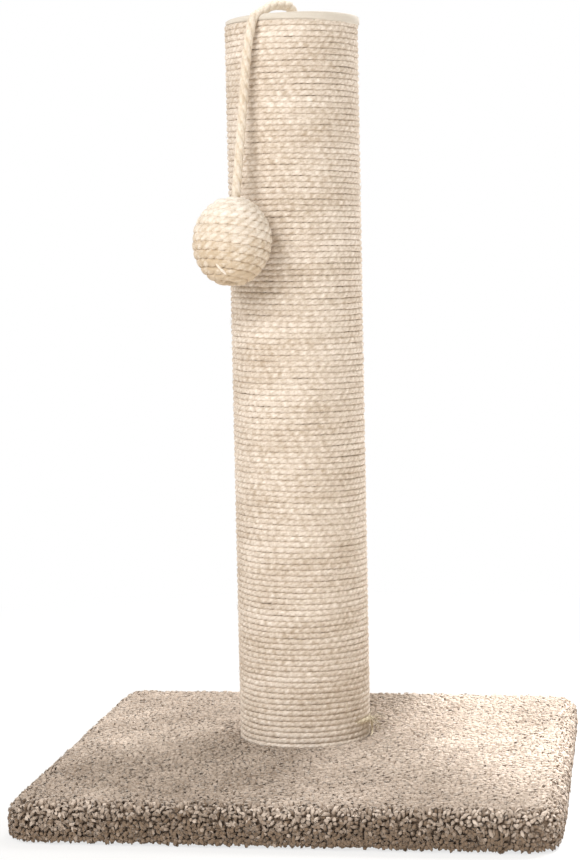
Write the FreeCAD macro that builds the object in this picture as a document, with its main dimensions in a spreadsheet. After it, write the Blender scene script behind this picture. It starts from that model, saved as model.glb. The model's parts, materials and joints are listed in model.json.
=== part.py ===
import FreeCAD, Part
import Sketcher
import math
import os

from FreeCAD import Placement, Rotation, Vector

# Cat scratching post, millimetres.  +Z is up, +X runs to the right along the front edge of
# the base and +Y to the back.  The origin is the middle of the base, on the floor.
#
# A square carpeted board carries a cardboard tube that is bound from end to end with sisal
# rope.  A cotton rope comes out of the middle of the post's top, lies over the rim and
# carries a rope-wound ball that leans on the post.

os.makedirs("parts", exist_ok=True)
doc = FreeCAD.newDocument("cat_scratching_post")


# ============================================================ driving sizes
SIZES = {
    # base
    "base_width": 305,  # base across its carpet, left to right
    "base_depth": 305,  # base across its carpet, front to back
    "board_thickness": 12,  # fibreboard
    "board_corner_radius": 10,  # board corner in plan
    "carpet_on_top": 5.5,  # carpet over the board, backing and pile
    "carpet_on_side": 6,  # carpet round the board's edge
    "carpet_under": 3,  # carpet turned under the board, pressed by the weight
    "carpet_under_post": 2.5,  # carpet left under the post's foot
    "turn_under_width": 25,  # how far the carpet goes in under the board
    "carpet_top_round": 9,  # rounding of the pile at the upper edge
    "carpet_bottom_round": 7,  # rounding of the pile at the lower edge
    "carpet_slack": 0.1,  # room between the board's edge and the carpet
    "foot_slack": 0.3,  # room between the sisal and the pile round it
    # post
    "post_x": -12,  # post axis, left of the base's middle
    "post_y": 36,  # post axis, behind the base's middle
    "tube_outer_radius": 36.6,  # cardboard tube
    "tube_wall": 4,  # cardboard tube
    "tube_length": 437.5,  # cardboard tube
    "bottom_plug_thickness": 30,  # wooden plug in the tube's foot
    "top_plug_thickness": 18,  # wooden plug in the tube's head
    "plug_slack": 0.1,  # room between a plug and the tube
    "cap_thickness": 2.5,  # felt disc on the post
    "cap_edge_round": 0.8,  # rounding of the disc's upper rim
    # sisal
    "sisal_diameter": 3.4,  # sisal rope
    "sisal_groove": 1.1,  # depth of the groove between two turns
    "sisal_slack": 0.05,  # room between the tube and the sisal
    "tail_lift": 0.15,  # room between the loose end and what it lies on
    # bolt
    "bolt_diameter": 8,  # bolt that holds the post
    "bolt_length": 35,  # bolt below its head
    "bolt_head_flats": 13,  # hexagon head across its flats
    "bolt_head_height": 5.3,  # hexagon head
    "bolt_hole_slack": 0.5,  # room round the bolt in the board and carpet
    "recess_radius": 15,  # recess for the bolt's head in the board
    "recess_depth": 5,  # recess for the bolt's head in the board
    "washer_radius": 12,  # washer under the head
    "washer_thickness": 1.6,  # washer under the head
    "insert_radius": 6,  # threaded insert in the bottom plug
    "insert_length": 15,  # threaded insert in the bottom plug
    "insert_flange_radius": 9,  # flange of the insert
    "insert_flange_thickness": 1.2,  # flange of the insert
    "bolt_end_room": 3,  # free depth past the bolt's end in the plug
    "thread_slack": 0.05,  # room between bolt, insert and plug
    # staples
    "staple_wire": 0.7,  # staple wire, square
    "carpet_staple_crown": 11,  # staple under the board
    "carpet_staple_leg": 8,  # staple under the board
    "carpet_staple_margin": 24,  # last staple from the board's corner
    "carpet_staple_height": 0.9,  # staple crown above the floor, sunk in the pile
    "plug_staple_crown": 8,  # staple through the tube into a plug
    "plug_staple_leg": 9,  # staple through the tube into a plug
    "plug_staple_sink": 0.3,  # crown below the tube's surface
    "wrap_staple_crown": 5.5,  # staple over the sisal
    "wrap_staple_leg": 6.5,  # staple over the sisal
    "wrap_staple_sink": 0.3,  # crown pressed into the sisal
    "lower_staple_height": 26,  # lower staple above the sisal's foot
    "upper_staple_depth": 9,  # upper staple below the sisal's top
    # toy
    "toy_rope_diameter": 5.6,  # cotton rope
    "rope_hole_slack": 0.4,  # room round the cotton rope in a hole
    "rope_lift": 0.4,  # room between the cotton rope and the disc under it
    "rope_end_inset": 6,  # length on the disc ends this far inside the rim
    "bend_radius": 4.2,  # arc of the rope over the rim
    "bend_inset": 0.5,  # arc starts this far inside the rim
    "pivot_reach": 3.5,  # hanging rope turns this far outside the rim
    "pivot_height": 0.2,  # hanging rope turns this far above the post's top
    "ball_drop": 131,  # middle of the ball below the post's top
    "ball_radius": 23.2,  # ball over its winding, across
    "ball_half_height": 26.4,  # ball over its winding, along its rope
    "ball_rope_diameter": 4.5,  # rope wound on the ball
    "ball_rope_pitch": 4.95,  # from one turn on the ball to the next
    "ball_end_radius": 5,  # middle of the rope in the last turn under the ball
    "ball_core_slack": 0.1,  # room between the ball's core and its winding
    "moving_gap": 0.4,  # room between pieces that move past each other
    "knot_radius": 7,  # stopper knot, across its turn
    "knot_tail": 1.5,  # rope end below a stopper knot
    "knot_pocket_depth": 15.5,  # hollow for the knot in the ball's core
    "knot_pocket_slack": 0.4,  # room round the knot in its hollow
}
ANGLES = {
    "lower_staple_azimuth": 318,  # lower staple over the sisal, degrees from +X
    "upper_staple_azimuth": 95,  # upper staple over the sisal, degrees from +X
    "toy_azimuth": 243,  # side on which the toy hangs, degrees from +X
}
COUNTS = {
    "carpet_staples_a_side": 5,  # staples along each side of the board
    "plug_staples_round": 6,  # staples round each plug
}

sheet = doc.addObject("Spreadsheet::Sheet", "Sizes")
for row, (alias, value) in enumerate({**SIZES, **ANGLES, **COUNTS}.items(), 1):
    sheet.set("A%d" % row, alias.replace("_", " "))
    sheet.set("B%d" % row, str(value))
    sheet.setAlias("B%d" % row, alias)
doc.recompute()


def val(alias):
    """A driving size as a number, for shapes that are made in code."""
    return float(sheet.get(alias))


def number(expression):
    """What an expression of the sheet's sizes comes to."""
    found = sheet.evalExpression(expression)
    return float(getattr(found, "Value", found))


# Heights and widths that several pieces share, as expressions of the driving sizes.
BOARD_TOP = "(Sizes.carpet_under + Sizes.board_thickness)"
CARPET_TOP = "(" + BOARD_TOP + " + Sizes.carpet_on_top)"
POST_FOOT = "(" + BOARD_TOP + " + Sizes.carpet_under_post)"
TUBE_TOP = "(" + POST_FOOT + " + Sizes.tube_length)"
POST_TOP = "(" + TUBE_TOP + " + Sizes.cap_thickness)"
BOARD_WIDTH = "(Sizes.base_width - 2 * Sizes.carpet_on_side)"
BOARD_DEPTH = "(Sizes.base_depth - 2 * Sizes.carpet_on_side)"
SISAL_BORE = "(Sizes.tube_outer_radius + Sizes.sisal_slack)"
POST_RADIUS = "(" + SISAL_BORE + " + Sizes.sisal_diameter)"
PLUG_RADIUS = "(Sizes.tube_outer_radius - Sizes.tube_wall - Sizes.plug_slack)"
BOLT_SEAT = "(Sizes.carpet_under + Sizes.recess_depth)"
BOLT_HEAD_TOP = "(" + BOLT_SEAT + " - Sizes.washer_thickness)"
BOLT_HOLE = "(Sizes.bolt_diameter / 2 + Sizes.bolt_hole_slack)"
ROPE_HOLE = "(Sizes.toy_rope_diameter / 2 + Sizes.rope_hole_slack)"


# ============================================================ building helpers
TOUCHING = 1e-6
SUBPARTS = []


def subpart(made, label):
    """Name a finished sub-part and put it on the list that is checked and exported."""
    made.Label = label
    SUBPARTS.append(made)
    return made


def place(made, z, x="Sizes.post_x", y="Sizes.post_y"):
    """Stand a sub-part at expressions of the sizes; x and y are the post's if not given."""
    made.setExpression("Placement.Base.x", x)
    made.setExpression("Placement.Base.y", y)
    made.setExpression("Placement.Base.z", z)
    return made


def origin_plane(body, role):
    """One of a body's own origin planes."""
    return [plane for plane in body.Origin.OriginFeatures if plane.Role == role][0]


def level_sketch(body, name, height):
    """A level sketch in a body, at a height that is an expression."""
    sketch = body.newObject("Sketcher::SketchObject", name)
    sketch.AttachmentSupport = [(origin_plane(body, "XY_Plane"), "")]
    sketch.MapMode = "FlatFace"
    sketch.setExpression("AttachmentOffset.Base.z", height)
    return sketch


def bind(sketch, constraint, name, expression):
    """Add a constraint, name it and tie it to the sheet."""
    sketch.renameConstraint(sketch.addConstraint(constraint), name)
    sketch.setExpression("Constraints." + name, expression)


def circles(body, name, radii, height="0", x="0", y="0"):
    """A level sketch of circles round one point."""
    sketch = level_sketch(body, name, height)
    sketch.setExpression("AttachmentOffset.Base.x", x)
    sketch.setExpression("AttachmentOffset.Base.y", y)
    for index, radius in enumerate(radii):
        start = number(radius)
        sketch.addGeometry(Part.Circle(Vector(), Vector(0, 0, 1), start), False)
        sketch.addConstraint(Sketcher.Constraint("Coincident", index, 3, -1, 1))
        bind(sketch, Sketcher.Constraint("Radius", index, start), "r%d" % index, radius)
    return sketch


def rounded_rectangle(body, name, width, depth, radius, height="0"):
    """A level sketch of a rectangle about the origin, with round corners."""
    sketch = level_sketch(body, name, height)
    half_w = number(width) / 2
    half_d = number(depth) / 2
    r = number(radius)
    corners = [(1, -1, -90), (1, 1, 0), (-1, 1, 90), (-1, -1, 180)]
    centres = [Vector(sx * (half_w - r), sy * (half_d - r), 0) for sx, sy, _ in corners]
    for index, (sx, sy, turn) in enumerate(corners):
        before = centres[index - 1]
        first = math.radians(turn)
        side = Vector(math.cos(first), math.sin(first), 0) * r
        sketch.addGeometry(Part.LineSegment(before + side, centres[index] + side), False)
        circle = Part.Circle(centres[index], Vector(0, 0, 1), r)
        sketch.addGeometry(Part.ArcOfCircle(circle, first, first + math.pi / 2), False)
    sides = 2 * len(corners)
    for index in range(sides):
        sketch.addConstraint(
            Sketcher.Constraint("Tangent", index, 2, (index + 1) % sides, 1))
    for line, direction in ((0, "Horizontal"), (2, "Vertical"),
                            (4, "Horizontal"), (6, "Vertical")):
        sketch.addConstraint(Sketcher.Constraint(direction, line))
    for arc in (3, 5, 7):
        sketch.addConstraint(Sketcher.Constraint("Equal", 1, arc))
    sketch.addConstraint(Sketcher.Constraint("Symmetric", 1, 3, 5, 3, -1, 1))
    bind(sketch, Sketcher.Constraint("DistanceX", 6, 1, 2, 1, 2 * half_w), "width", width)
    bind(sketch, Sketcher.Constraint("DistanceY", 0, 1, 4, 1, 2 * half_d), "depth", depth)
    bind(sketch, Sketcher.Constraint("Radius", 1, r), "corner", radius)
    return sketch


def pad(body, profile, length):
    """Raise a profile upwards from its own height."""
    made = body.newObject("PartDesign::Pad", profile.Name + "_pad")
    made.Profile = profile
    made.setExpression("Length", length)
    profile.Visibility = False
    doc.recompute()
    return made


def pocket(body, profile, length, upward=False):
    """Cut a profile down, or up, from its own height, and see that it cut something."""
    before = body.Shape.Volume
    made = body.newObject("PartDesign::Pocket", profile.Name + "_pocket")
    made.Profile = profile
    made.Reversed = upward
    made.setExpression("Length", length)
    doc.recompute()
    if not body.Shape.Volume < before:
        raise ValueError(profile.Name + " cuts nothing")
    return made


def rim_fillet(body, name, radius, z):
    """Round the outline of the face that lies level at height z in a body's tip."""
    base = body.Tip
    outline = []
    for face in base.Shape.Faces:
        box = face.BoundBox
        if max(abs(box.ZMin - z), abs(box.ZMax - z)) < TOUCHING:
            outline = face.OuterWire.Edges
    names = ["Edge%d" % (index + 1) for index, edge in enumerate(base.Shape.Edges)
             if any(edge.isSame(side) for side in outline)]
    made = body.newObject("PartDesign::Fillet", name)
    made.Base = (base, names)
    made.setExpression("Radius", radius)
    doc.recompute()
    return made


def disc(label, radii, thickness, z):
    """A round piece on the post's axis: the first radius is its rim, others are bores."""
    body = new_body(label)
    pad(body, circles(body, label + "_plan", radii), thickness)
    return place(body, z)


def new_body(label):
    return subpart(doc.addObject("PartDesign::Body", label), label)


def feature(label, shape):
    """A sub-part whose shape was made in code."""
    made = doc.addObject("Part::Feature", label)
    made.Shape = shape
    return subpart(made, label)


# ============================================================ base
# The carpet is one piece: it lies over the board, goes round its edge and is stapled under
# it.  Its pile makes a soft round edge all the way round.
carpet = new_body("base_carpet")
pad(carpet,
    rounded_rectangle(carpet, "carpet_outline", "Sizes.base_width", "Sizes.base_depth",
                      "Sizes.board_corner_radius + Sizes.carpet_on_side"),
    CARPET_TOP)
rim_fillet(carpet, "carpet_upper_edge", "Sizes.carpet_top_round", number(CARPET_TOP))
rim_fillet(carpet, "carpet_lower_edge", "Sizes.carpet_bottom_round", 0)
pocket(carpet,
       rounded_rectangle(carpet, "room_for_board",
                         BOARD_WIDTH + " + 2 * Sizes.carpet_slack",
                         BOARD_DEPTH + " + 2 * Sizes.carpet_slack",
                         "Sizes.board_corner_radius + Sizes.carpet_slack",
                         "Sizes.carpet_under"),
       "Sizes.board_thickness", upward=True)
pocket(carpet,
       rounded_rectangle(carpet, "turned_under_opening",
                         BOARD_WIDTH + " - 2 * Sizes.turn_under_width",
                         BOARD_DEPTH + " - 2 * Sizes.turn_under_width",
                         "Sizes.board_corner_radius"),
       "Sizes.carpet_under", upward=True)
pocket(carpet,
       circles(carpet, "pressed_by_post", [POST_RADIUS + " + Sizes.foot_slack"],
               CARPET_TOP, "Sizes.post_x", "Sizes.post_y"),
       "Sizes.carpet_on_top - Sizes.carpet_under_post")
pocket(carpet,
       circles(carpet, "carpet_bolt_hole", [BOLT_HOLE],
               BOARD_TOP, "Sizes.post_x", "Sizes.post_y"),
       "Sizes.carpet_under_post", upward=True)

board = new_body("base_board")
pad(board,
    rounded_rectangle(board, "board_outline", BOARD_WIDTH, BOARD_DEPTH,
                      "Sizes.board_corner_radius", "Sizes.carpet_under"),
    "Sizes.board_thickness")
pocket(board,
       circles(board, "head_recess", ["Sizes.recess_radius"],
               "Sizes.carpet_under", "Sizes.post_x", "Sizes.post_y"),
       "Sizes.recess_depth", upward=True)
pocket(board,
       circles(board, "board_bolt_hole", [BOLT_HOLE],
               BOLT_SEAT, "Sizes.post_x", "Sizes.post_y"),
       "Sizes.board_thickness - Sizes.recess_depth", upward=True)


# ============================================================ bolt
bolt_head = doc.addObject("Part::Prism", "bolt_head")
bolt_head.Polygon = 6
bolt_head.setExpression("Circumradius", "Sizes.bolt_head_flats / sqrt(3)")
bolt_head.setExpression("Height", "Sizes.bolt_head_height")
place(bolt_head, BOLT_HEAD_TOP + " - Sizes.bolt_head_height")
bolt_shank = doc.addObject("Part::Cylinder", "bolt_shank")
bolt_shank.setExpression("Radius", "Sizes.bolt_diameter / 2")
bolt_shank.setExpression("Height", "Sizes.bolt_length")
place(bolt_shank, BOLT_HEAD_TOP)
bolt = subpart(doc.addObject("Part::Fuse", "post_bolt"), "post_bolt")
bolt.Base = bolt_head
bolt.Tool = bolt_shank

disc("bolt_washer", ["Sizes.washer_radius", BOLT_HOLE], "Sizes.washer_thickness",
     BOLT_HEAD_TOP)

insert_bore = "(Sizes.bolt_diameter / 2 + Sizes.thread_slack)"
insert = disc("plug_insert", ["Sizes.insert_flange_radius", insert_bore],
              "Sizes.insert_flange_thickness", POST_FOOT)
pad(insert, circles(insert, "insert_sleeve", ["Sizes.insert_radius", insert_bore]),
    "Sizes.insert_length")


# ============================================================ post
disc("post_tube", ["Sizes.tube_outer_radius", "Sizes.tube_outer_radius - Sizes.tube_wall"],
     "Sizes.tube_length", POST_FOOT)

bottom_plug = disc("bottom_plug", [PLUG_RADIUS], "Sizes.bottom_plug_thickness", POST_FOOT)
pocket(bottom_plug,
       circles(bottom_plug, "insert_flange_seat",
               ["Sizes.insert_flange_radius + Sizes.thread_slack"]),
       "Sizes.insert_flange_thickness", upward=True)
pocket(bottom_plug,
       circles(bottom_plug, "insert_seat", ["Sizes.insert_radius + Sizes.thread_slack"]),
       "Sizes.insert_length", upward=True)
pocket(bottom_plug,
       circles(bottom_plug, "bolt_end_hole", [BOLT_HOLE], "Sizes.insert_length"),
       BOLT_HEAD_TOP + " + Sizes.bolt_length + Sizes.bolt_end_room - " + POST_FOOT
       + " - Sizes.insert_length", upward=True)

disc("top_plug", [PLUG_RADIUS, ROPE_HOLE], "Sizes.top_plug_thickness",
     TUBE_TOP + " - Sizes.top_plug_thickness")

cap = disc("top_cap", [POST_RADIUS, ROPE_HOLE], "Sizes.cap_thickness", TUBE_TOP)
rim_fillet(cap, "cap_rim", "Sizes.cap_edge_round", val("cap_thickness"))

# The sisal lies in turns that touch.  From a step away they are fine level ribs, so the
# binding is a sleeve whose outer side is lofted through four circles for each turn: the
# groove, the two shoulders of the rope and its crest.
SHOULDER = 0.2
CREST = 0.5
RIB_PARTS = ((0, "groove"), (SHOULDER, "shoulder"), (CREST, "crest"),
             (1 - SHOULDER, "shoulder"))


def ribbed_sleeve(bore, crest, length, rope, groove):
    """A sleeve from z = 0 up, with one round rib for each turn of rope."""
    turns = round(length / rope)
    pitch = length / turns
    print("sisal turns", turns)
    offset = (CREST - SHOULDER) * pitch
    shoulder = rope / 2 - math.sqrt((rope / 2) ** 2 - offset ** 2)
    depths = {"groove": groove, "shoulder": min(shoulder, groove), "crest": 0}
    rings = []
    for turn in range(turns):
        for share, part in RIB_PARTS:
            rings.append(((turn + share) * pitch, crest - depths[part]))
    rings.append((length, crest - groove))
    wires = [Part.Wire(Part.makeCircle(radius, Vector(0, 0, z))) for z, radius in rings]
    outside = Part.makeLoft(wires, True, True)
    return outside.cut(Part.makeCylinder(bore, length))


wrap = feature("sisal_wrap",
               ribbed_sleeve(number(SISAL_BORE), number(POST_RADIUS), val("tube_length"),
                             val("sisal_diameter"), val("sisal_groove")))
place(wrap, POST_FOOT)


# ============================================================ staples
def staple(crown, leg):
    """A staple with its crown along X from z = 0 up and its legs up along Z."""
    wire = val("staple_wire")
    across = Part.makeBox(crown, wire, wire, Vector(-crown / 2, -wire / 2, 0))
    left = Part.makeBox(wire, wire, leg, Vector(-crown / 2, -wire / 2, 0))
    right = Part.makeBox(wire, wire, leg, Vector(crown / 2 - wire, -wire / 2, 0))
    return across.fuse([left, right]).removeSplitter()


def staples_under_carpet():
    """A row of staples along each side of the board, through the turned-under carpet."""
    made = []
    count = int(val("carpet_staples_a_side"))
    inset = val("turn_under_width") / 2
    for side in range(4):
        along = number(BOARD_WIDTH if side % 2 == 0 else BOARD_DEPTH)
        across = number(BOARD_DEPTH if side % 2 == 0 else BOARD_WIDTH)
        span = along - 2 * val("carpet_staple_margin")
        turn = Rotation(Vector(0, 0, 1), 90 * side)
        for index in range(count):
            x = -span / 2 + span * index / (count - 1)
            spot = Vector(x, -across / 2 + inset, val("carpet_staple_height"))
            one = staple(val("carpet_staple_crown"), val("carpet_staple_leg"))
            one.Placement = Placement(turn.multVec(spot), turn)
            made.append(one)
    return Part.makeCompound(made)


def staple_in_post(crown, leg, radius, azimuth, z, upright):
    """A staple driven towards the post's axis, with its crown's outer side at a radius."""
    one = staple(crown, leg)
    inward = Rotation(Vector(0, 1, 0), -90)
    roll = Rotation(Vector(1, 0, 0), 0 if upright else 90)
    facing = Rotation(Vector(0, 0, 1), azimuth)
    spot = facing.multVec(Vector(radius, 0, 0)) + Vector(val("post_x"), val("post_y"), z)
    one.Placement = Placement(spot, facing * roll * inward)
    return one


def staples_round_plug(z):
    count = int(val("plug_staples_round"))
    radius = val("tube_outer_radius") - val("plug_staple_sink")
    return Part.makeCompound([
        staple_in_post(val("plug_staple_crown"), val("plug_staple_leg"), radius,
                       360 * index / count, z, upright=False)
        for index in range(count)])


feature("carpet_staples", staples_under_carpet())
feature("bottom_plug_staples",
        staples_round_plug(number(POST_FOOT + " + Sizes.bottom_plug_thickness / 2")))
feature("top_plug_staples",
        staples_round_plug(number(TUBE_TOP + " - Sizes.top_plug_thickness / 2")))
feature("wrap_staples", Part.makeCompound([
    staple_in_post(val("wrap_staple_crown"), val("wrap_staple_leg"),
                   number(POST_RADIUS) + val("staple_wire") - val("wrap_staple_sink"),
                   azimuth, z, upright=True)
    for azimuth, z in (
        (val("lower_staple_azimuth"), number(POST_FOOT) + val("lower_staple_height")),
        (val("upper_staple_azimuth"), number(TUBE_TOP) - val("upper_staple_depth")))]))


# ============================================================ ropes
ARC_SHARE = 0.45


def route_wire(name, points):
    """Straight runs joined by tangent arcs, each as large as its two runs allow."""
    start = points[0]
    edges = []
    radii = []
    for before, corner, after in zip(points, points[1:], points[2:]):
        into = (corner - before).normalize()
        out = (after - corner).normalize()
        reach = ARC_SHARE * min(corner.distanceToPoint(before), after.distanceToPoint(corner))
        turn = into.getAngle(out)
        first = corner - into * reach
        last = corner + out * reach
        middle = (first + last) * 0.5
        bulge = math.tan(turn / 4) / math.tan(turn / 2)
        edges.append(Part.LineSegment(start, first).toShape())
        edges.append(Part.Arc(first, middle + (corner - middle) * bulge, last).toShape())
        radii.append(reach / math.tan(turn / 2))
        start = last
    edges.append(Part.LineSegment(start, points[-1]).toShape())
    print(name, "arc radii", " ".join("%.1f" % radius for radius in radii))
    return Part.Wire(edges)


def tube_along(name, wire, diameter):
    """A round tube swept along a wire, with its volume compared."""
    first = wire.OrderedEdges[0]
    start = first.valueAt(first.FirstParameter)
    heading = first.tangentAt(first.FirstParameter)
    section = Part.Wire(Part.makeCircle(diameter / 2, start, heading))
    tube = wire.makePipeShell([section], True, False)
    if tube.Volume < 0:
        tube.reverse()
    expected = math.pi * diameter ** 2 / 4 * wire.Length
    print("%s length %.1f volume share %.4f" % (name, wire.Length, tube.Volume / expected))
    return tube


TOY_TURN = Rotation(Vector(0, 0, 1), val("toy_azimuth"))
POST_MIDDLE = Vector(val("post_x"), val("post_y"), number(POST_TOP))


def toy_point(out, up):
    """A point in the toy's upright plane: out from the post's axis, up from its top."""
    return POST_MIDDLE + TOY_TURN.multVec(Vector(out, 0, up))


rope = val("toy_rope_diameter")
rope_radius = rope / 2
rim = number(POST_RADIUS)
rest_height = rope_radius + val("rope_lift")
plug_underside = number(TUBE_TOP + " - Sizes.top_plug_thickness - " + POST_TOP)

# Over the top: up through the plug, round in a tight hump and down onto the disc.  The
# points of the ropes' routes are (out from the post's axis, up from its top).
HUMP_ROUTE = ((0, 3.2), (3.4, 6.9), (11, 7.4), (20, 6.3))
LANDING_OUT = 29
lying_end = toy_point(rim - val("rope_end_inset"), rest_height)
over_top_route = [toy_point(0, plug_underside)]
over_top_route += [toy_point(out, up) for out, up in HUMP_ROUTE]
over_top_route += [toy_point(LANDING_OUT, rest_height), lying_end]
feature("toy_rope_top",
        tube_along("toy_rope_top", route_wire("toy_rope_top", over_top_route), rope))

# At the rim: the rope bends over the edge of the disc in an arc of about its own size.
# This short length swings to the sides about the rope that lies on the disc.  It stops one
# gap short of the hanging length, whose round end turns at the pivot.
bend_radius = val("bend_radius")
bend_start = rim - val("bend_inset")
pivot_out = rim + val("pivot_reach")
pivot_up = val("pivot_height")
pivot = toy_point(pivot_out, pivot_up)


def bend_angle():
    """How far the bend turns before its flat end stands a gap from the round end."""
    across = pivot_out - bend_start
    above = pivot_up - rest_height + bend_radius
    clear = rope_radius + val("moving_gap")
    return math.acos(clear / math.hypot(across, above)) - math.atan2(above, across)


def bend_point(angle):
    """A point of the bend over the rim, by the angle turned so far."""
    return toy_point(bend_start + bend_radius * math.sin(angle),
                     rest_height - bend_radius * (1 - math.cos(angle)))


bend_end = bend_angle()
bend_wire = Part.Wire([
    Part.LineSegment(lying_end + TOY_TURN.multVec(Vector(val("moving_gap"), 0, 0)),
                     bend_point(0)).toShape(),
    Part.Arc(bend_point(0), bend_point(bend_end / 2), bend_point(bend_end)).toShape(),
])
feature("toy_rope_bend", tube_along("toy_rope_bend", bend_wire, rope))

# The hanging length: it leaves the rim a little outwards, hangs down beside the post and
# goes into the ball, which leans on the post with its axis along the rope's last run.
# These points are (outside the rim, up from the post's top).
DROP_ROUTE = ((6.7, -14), (10.55, -54))
drop_route = [pivot] + [toy_point(rim + out, up) for out, up in DROP_ROUTE]
LEAN_STEPS = 12


def ball_place():
    """The ball's distance from the post's axis, and its lean in radians."""
    across = val("ball_radius")
    along = val("ball_half_height")
    last_out, last_up = DROP_ROUTE[-1]
    lean = 0
    for _ in range(LEAN_STEPS):
        half_width = math.hypot(across * math.cos(lean), along * math.sin(lean))
        beyond_rim = val("moving_gap") + half_width
        lean = math.atan2(beyond_rim - last_out, last_up + val("ball_drop"))
    return rim + beyond_rim, lean


ball_out, ball_lean = ball_place()
ball_middle = toy_point(ball_out, -val("ball_drop"))
ball_turn = TOY_TURN * Rotation(Vector(0, 1, 0), -math.degrees(ball_lean))
ball_frame = Placement(ball_middle, ball_turn)
ball_up = ball_turn.multVec(Vector(0, 0, 1))

core_radius = "(Sizes.ball_radius - Sizes.ball_rope_diameter - Sizes.ball_core_slack)"
core_height = "(Sizes.ball_half_height - Sizes.ball_rope_diameter - Sizes.ball_core_slack)"
pocket_ceiling = val("knot_pocket_depth") - number(core_height)
knot_top = pocket_ceiling - val("moving_gap")
drop_route.append(ball_middle + ball_up * knot_top)

drop_wire = route_wire("toy_rope_drop", drop_route)
drop_tube = tube_along("toy_rope_drop", drop_wire, rope)
upward = (drop_route[0] - drop_route[1]).normalize()
round_end = Part.makeSphere(rope_radius, pivot, upward, 0, 90, 360)
feature("toy_rope_drop", drop_tube.fuse(round_end).removeSplitter())


def stopper_knot(label):
    """A knot that hangs below z = 0: one turn of rope round a short rope end."""
    turn = doc.addObject("Part::Torus", label + "_turn")
    turn.setExpression("Radius1", "Sizes.knot_radius - Sizes.toy_rope_diameter / 2")
    turn.setExpression("Radius2", "Sizes.toy_rope_diameter / 2")
    turn.setExpression("Placement.Base.z", "-Sizes.toy_rope_diameter / 2")
    end = doc.addObject("Part::Cylinder", label + "_end")
    end.setExpression("Radius", "Sizes.toy_rope_diameter / 2")
    end.setExpression("Height", "Sizes.toy_rope_diameter + Sizes.knot_tail")
    end.setExpression("Placement.Base.z", "-Sizes.toy_rope_diameter - Sizes.knot_tail")
    knot = subpart(doc.addObject("Part::Fuse", label), label)
    knot.Base = turn
    knot.Tool = end
    return knot


place(stopper_knot("top_knot"), TUBE_TOP + " - Sizes.top_plug_thickness")
ball_knot = stopper_knot("ball_knot")
ball_knot.Placement = ball_frame * Placement(Vector(0, 0, knot_top), Rotation())


# ============================================================ ball
core_blank = doc.addObject("Part::Ellipsoid", "core_blank")
core_blank.setExpression("Radius1", core_height)
core_blank.setExpression("Radius2", core_radius)
core_bore = doc.addObject("Part::Cylinder", "core_bore")
core_bore.setExpression("Radius", ROPE_HOLE)
core_bore.setExpression("Height", "2 * Sizes.ball_half_height")
core_bore.setExpression("Placement.Base.z", "-Sizes.ball_half_height")
core_pocket = doc.addObject("Part::Cylinder", "core_pocket")
core_pocket.setExpression("Radius", "Sizes.knot_radius + Sizes.knot_pocket_slack")
core_pocket.setExpression("Height", "Sizes.ball_half_height")
core_pocket.setExpression("Placement.Base.z", "Sizes.knot_pocket_depth - " + core_height
                          + " - Sizes.ball_half_height")
core_hollow = doc.addObject("Part::Fuse", "core_hollow")
core_hollow.Base = core_bore
core_hollow.Tool = core_pocket
core = subpart(doc.addObject("Part::Cut", "ball_core"), "ball_core")
core.Base = core_blank
core.Tool = core_hollow
core.Placement = ball_frame


def biarc(start, start_heading, end, end_heading):
    """Two arcs that join two points with given headings."""
    chord = end - start
    both = start_heading + end_heading
    spread = 2 * (1 - start_heading.dot(end_heading))
    along = chord.dot(both)
    root = math.sqrt(along ** 2 + spread * chord.dot(chord))
    reach = chord.dot(chord) / (along + root)
    first_apex = start + start_heading * reach
    second_apex = end - end_heading * reach
    joint = (first_apex + second_apex) * 0.5
    arcs = []
    for a, apex, b in ((start, first_apex, joint), (joint, second_apex, end)):
        middle = (a + b) * 0.5
        turn = 2 * (apex - a).getAngle(b - a)
        bulge = math.tan(turn / 4) / math.tan(turn / 2)
        arcs.append(Part.Arc(a, middle + (apex - middle) * bulge, b))
    return arcs


QUARTER = math.pi / 2
SIDE_STEPS = 2000
# How the winding's two ends leave its even turns: angles, and shares of the rope's
# diameter, or of the last turn's radius for the share that the tucked end keeps.
END_LIFT = math.radians(22)
LIFT_RISE = 0.28
TUCK_TURN = math.radians(60)
TUCK_SHARE = 0.7
TUCK_RISE = 0.95


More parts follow.
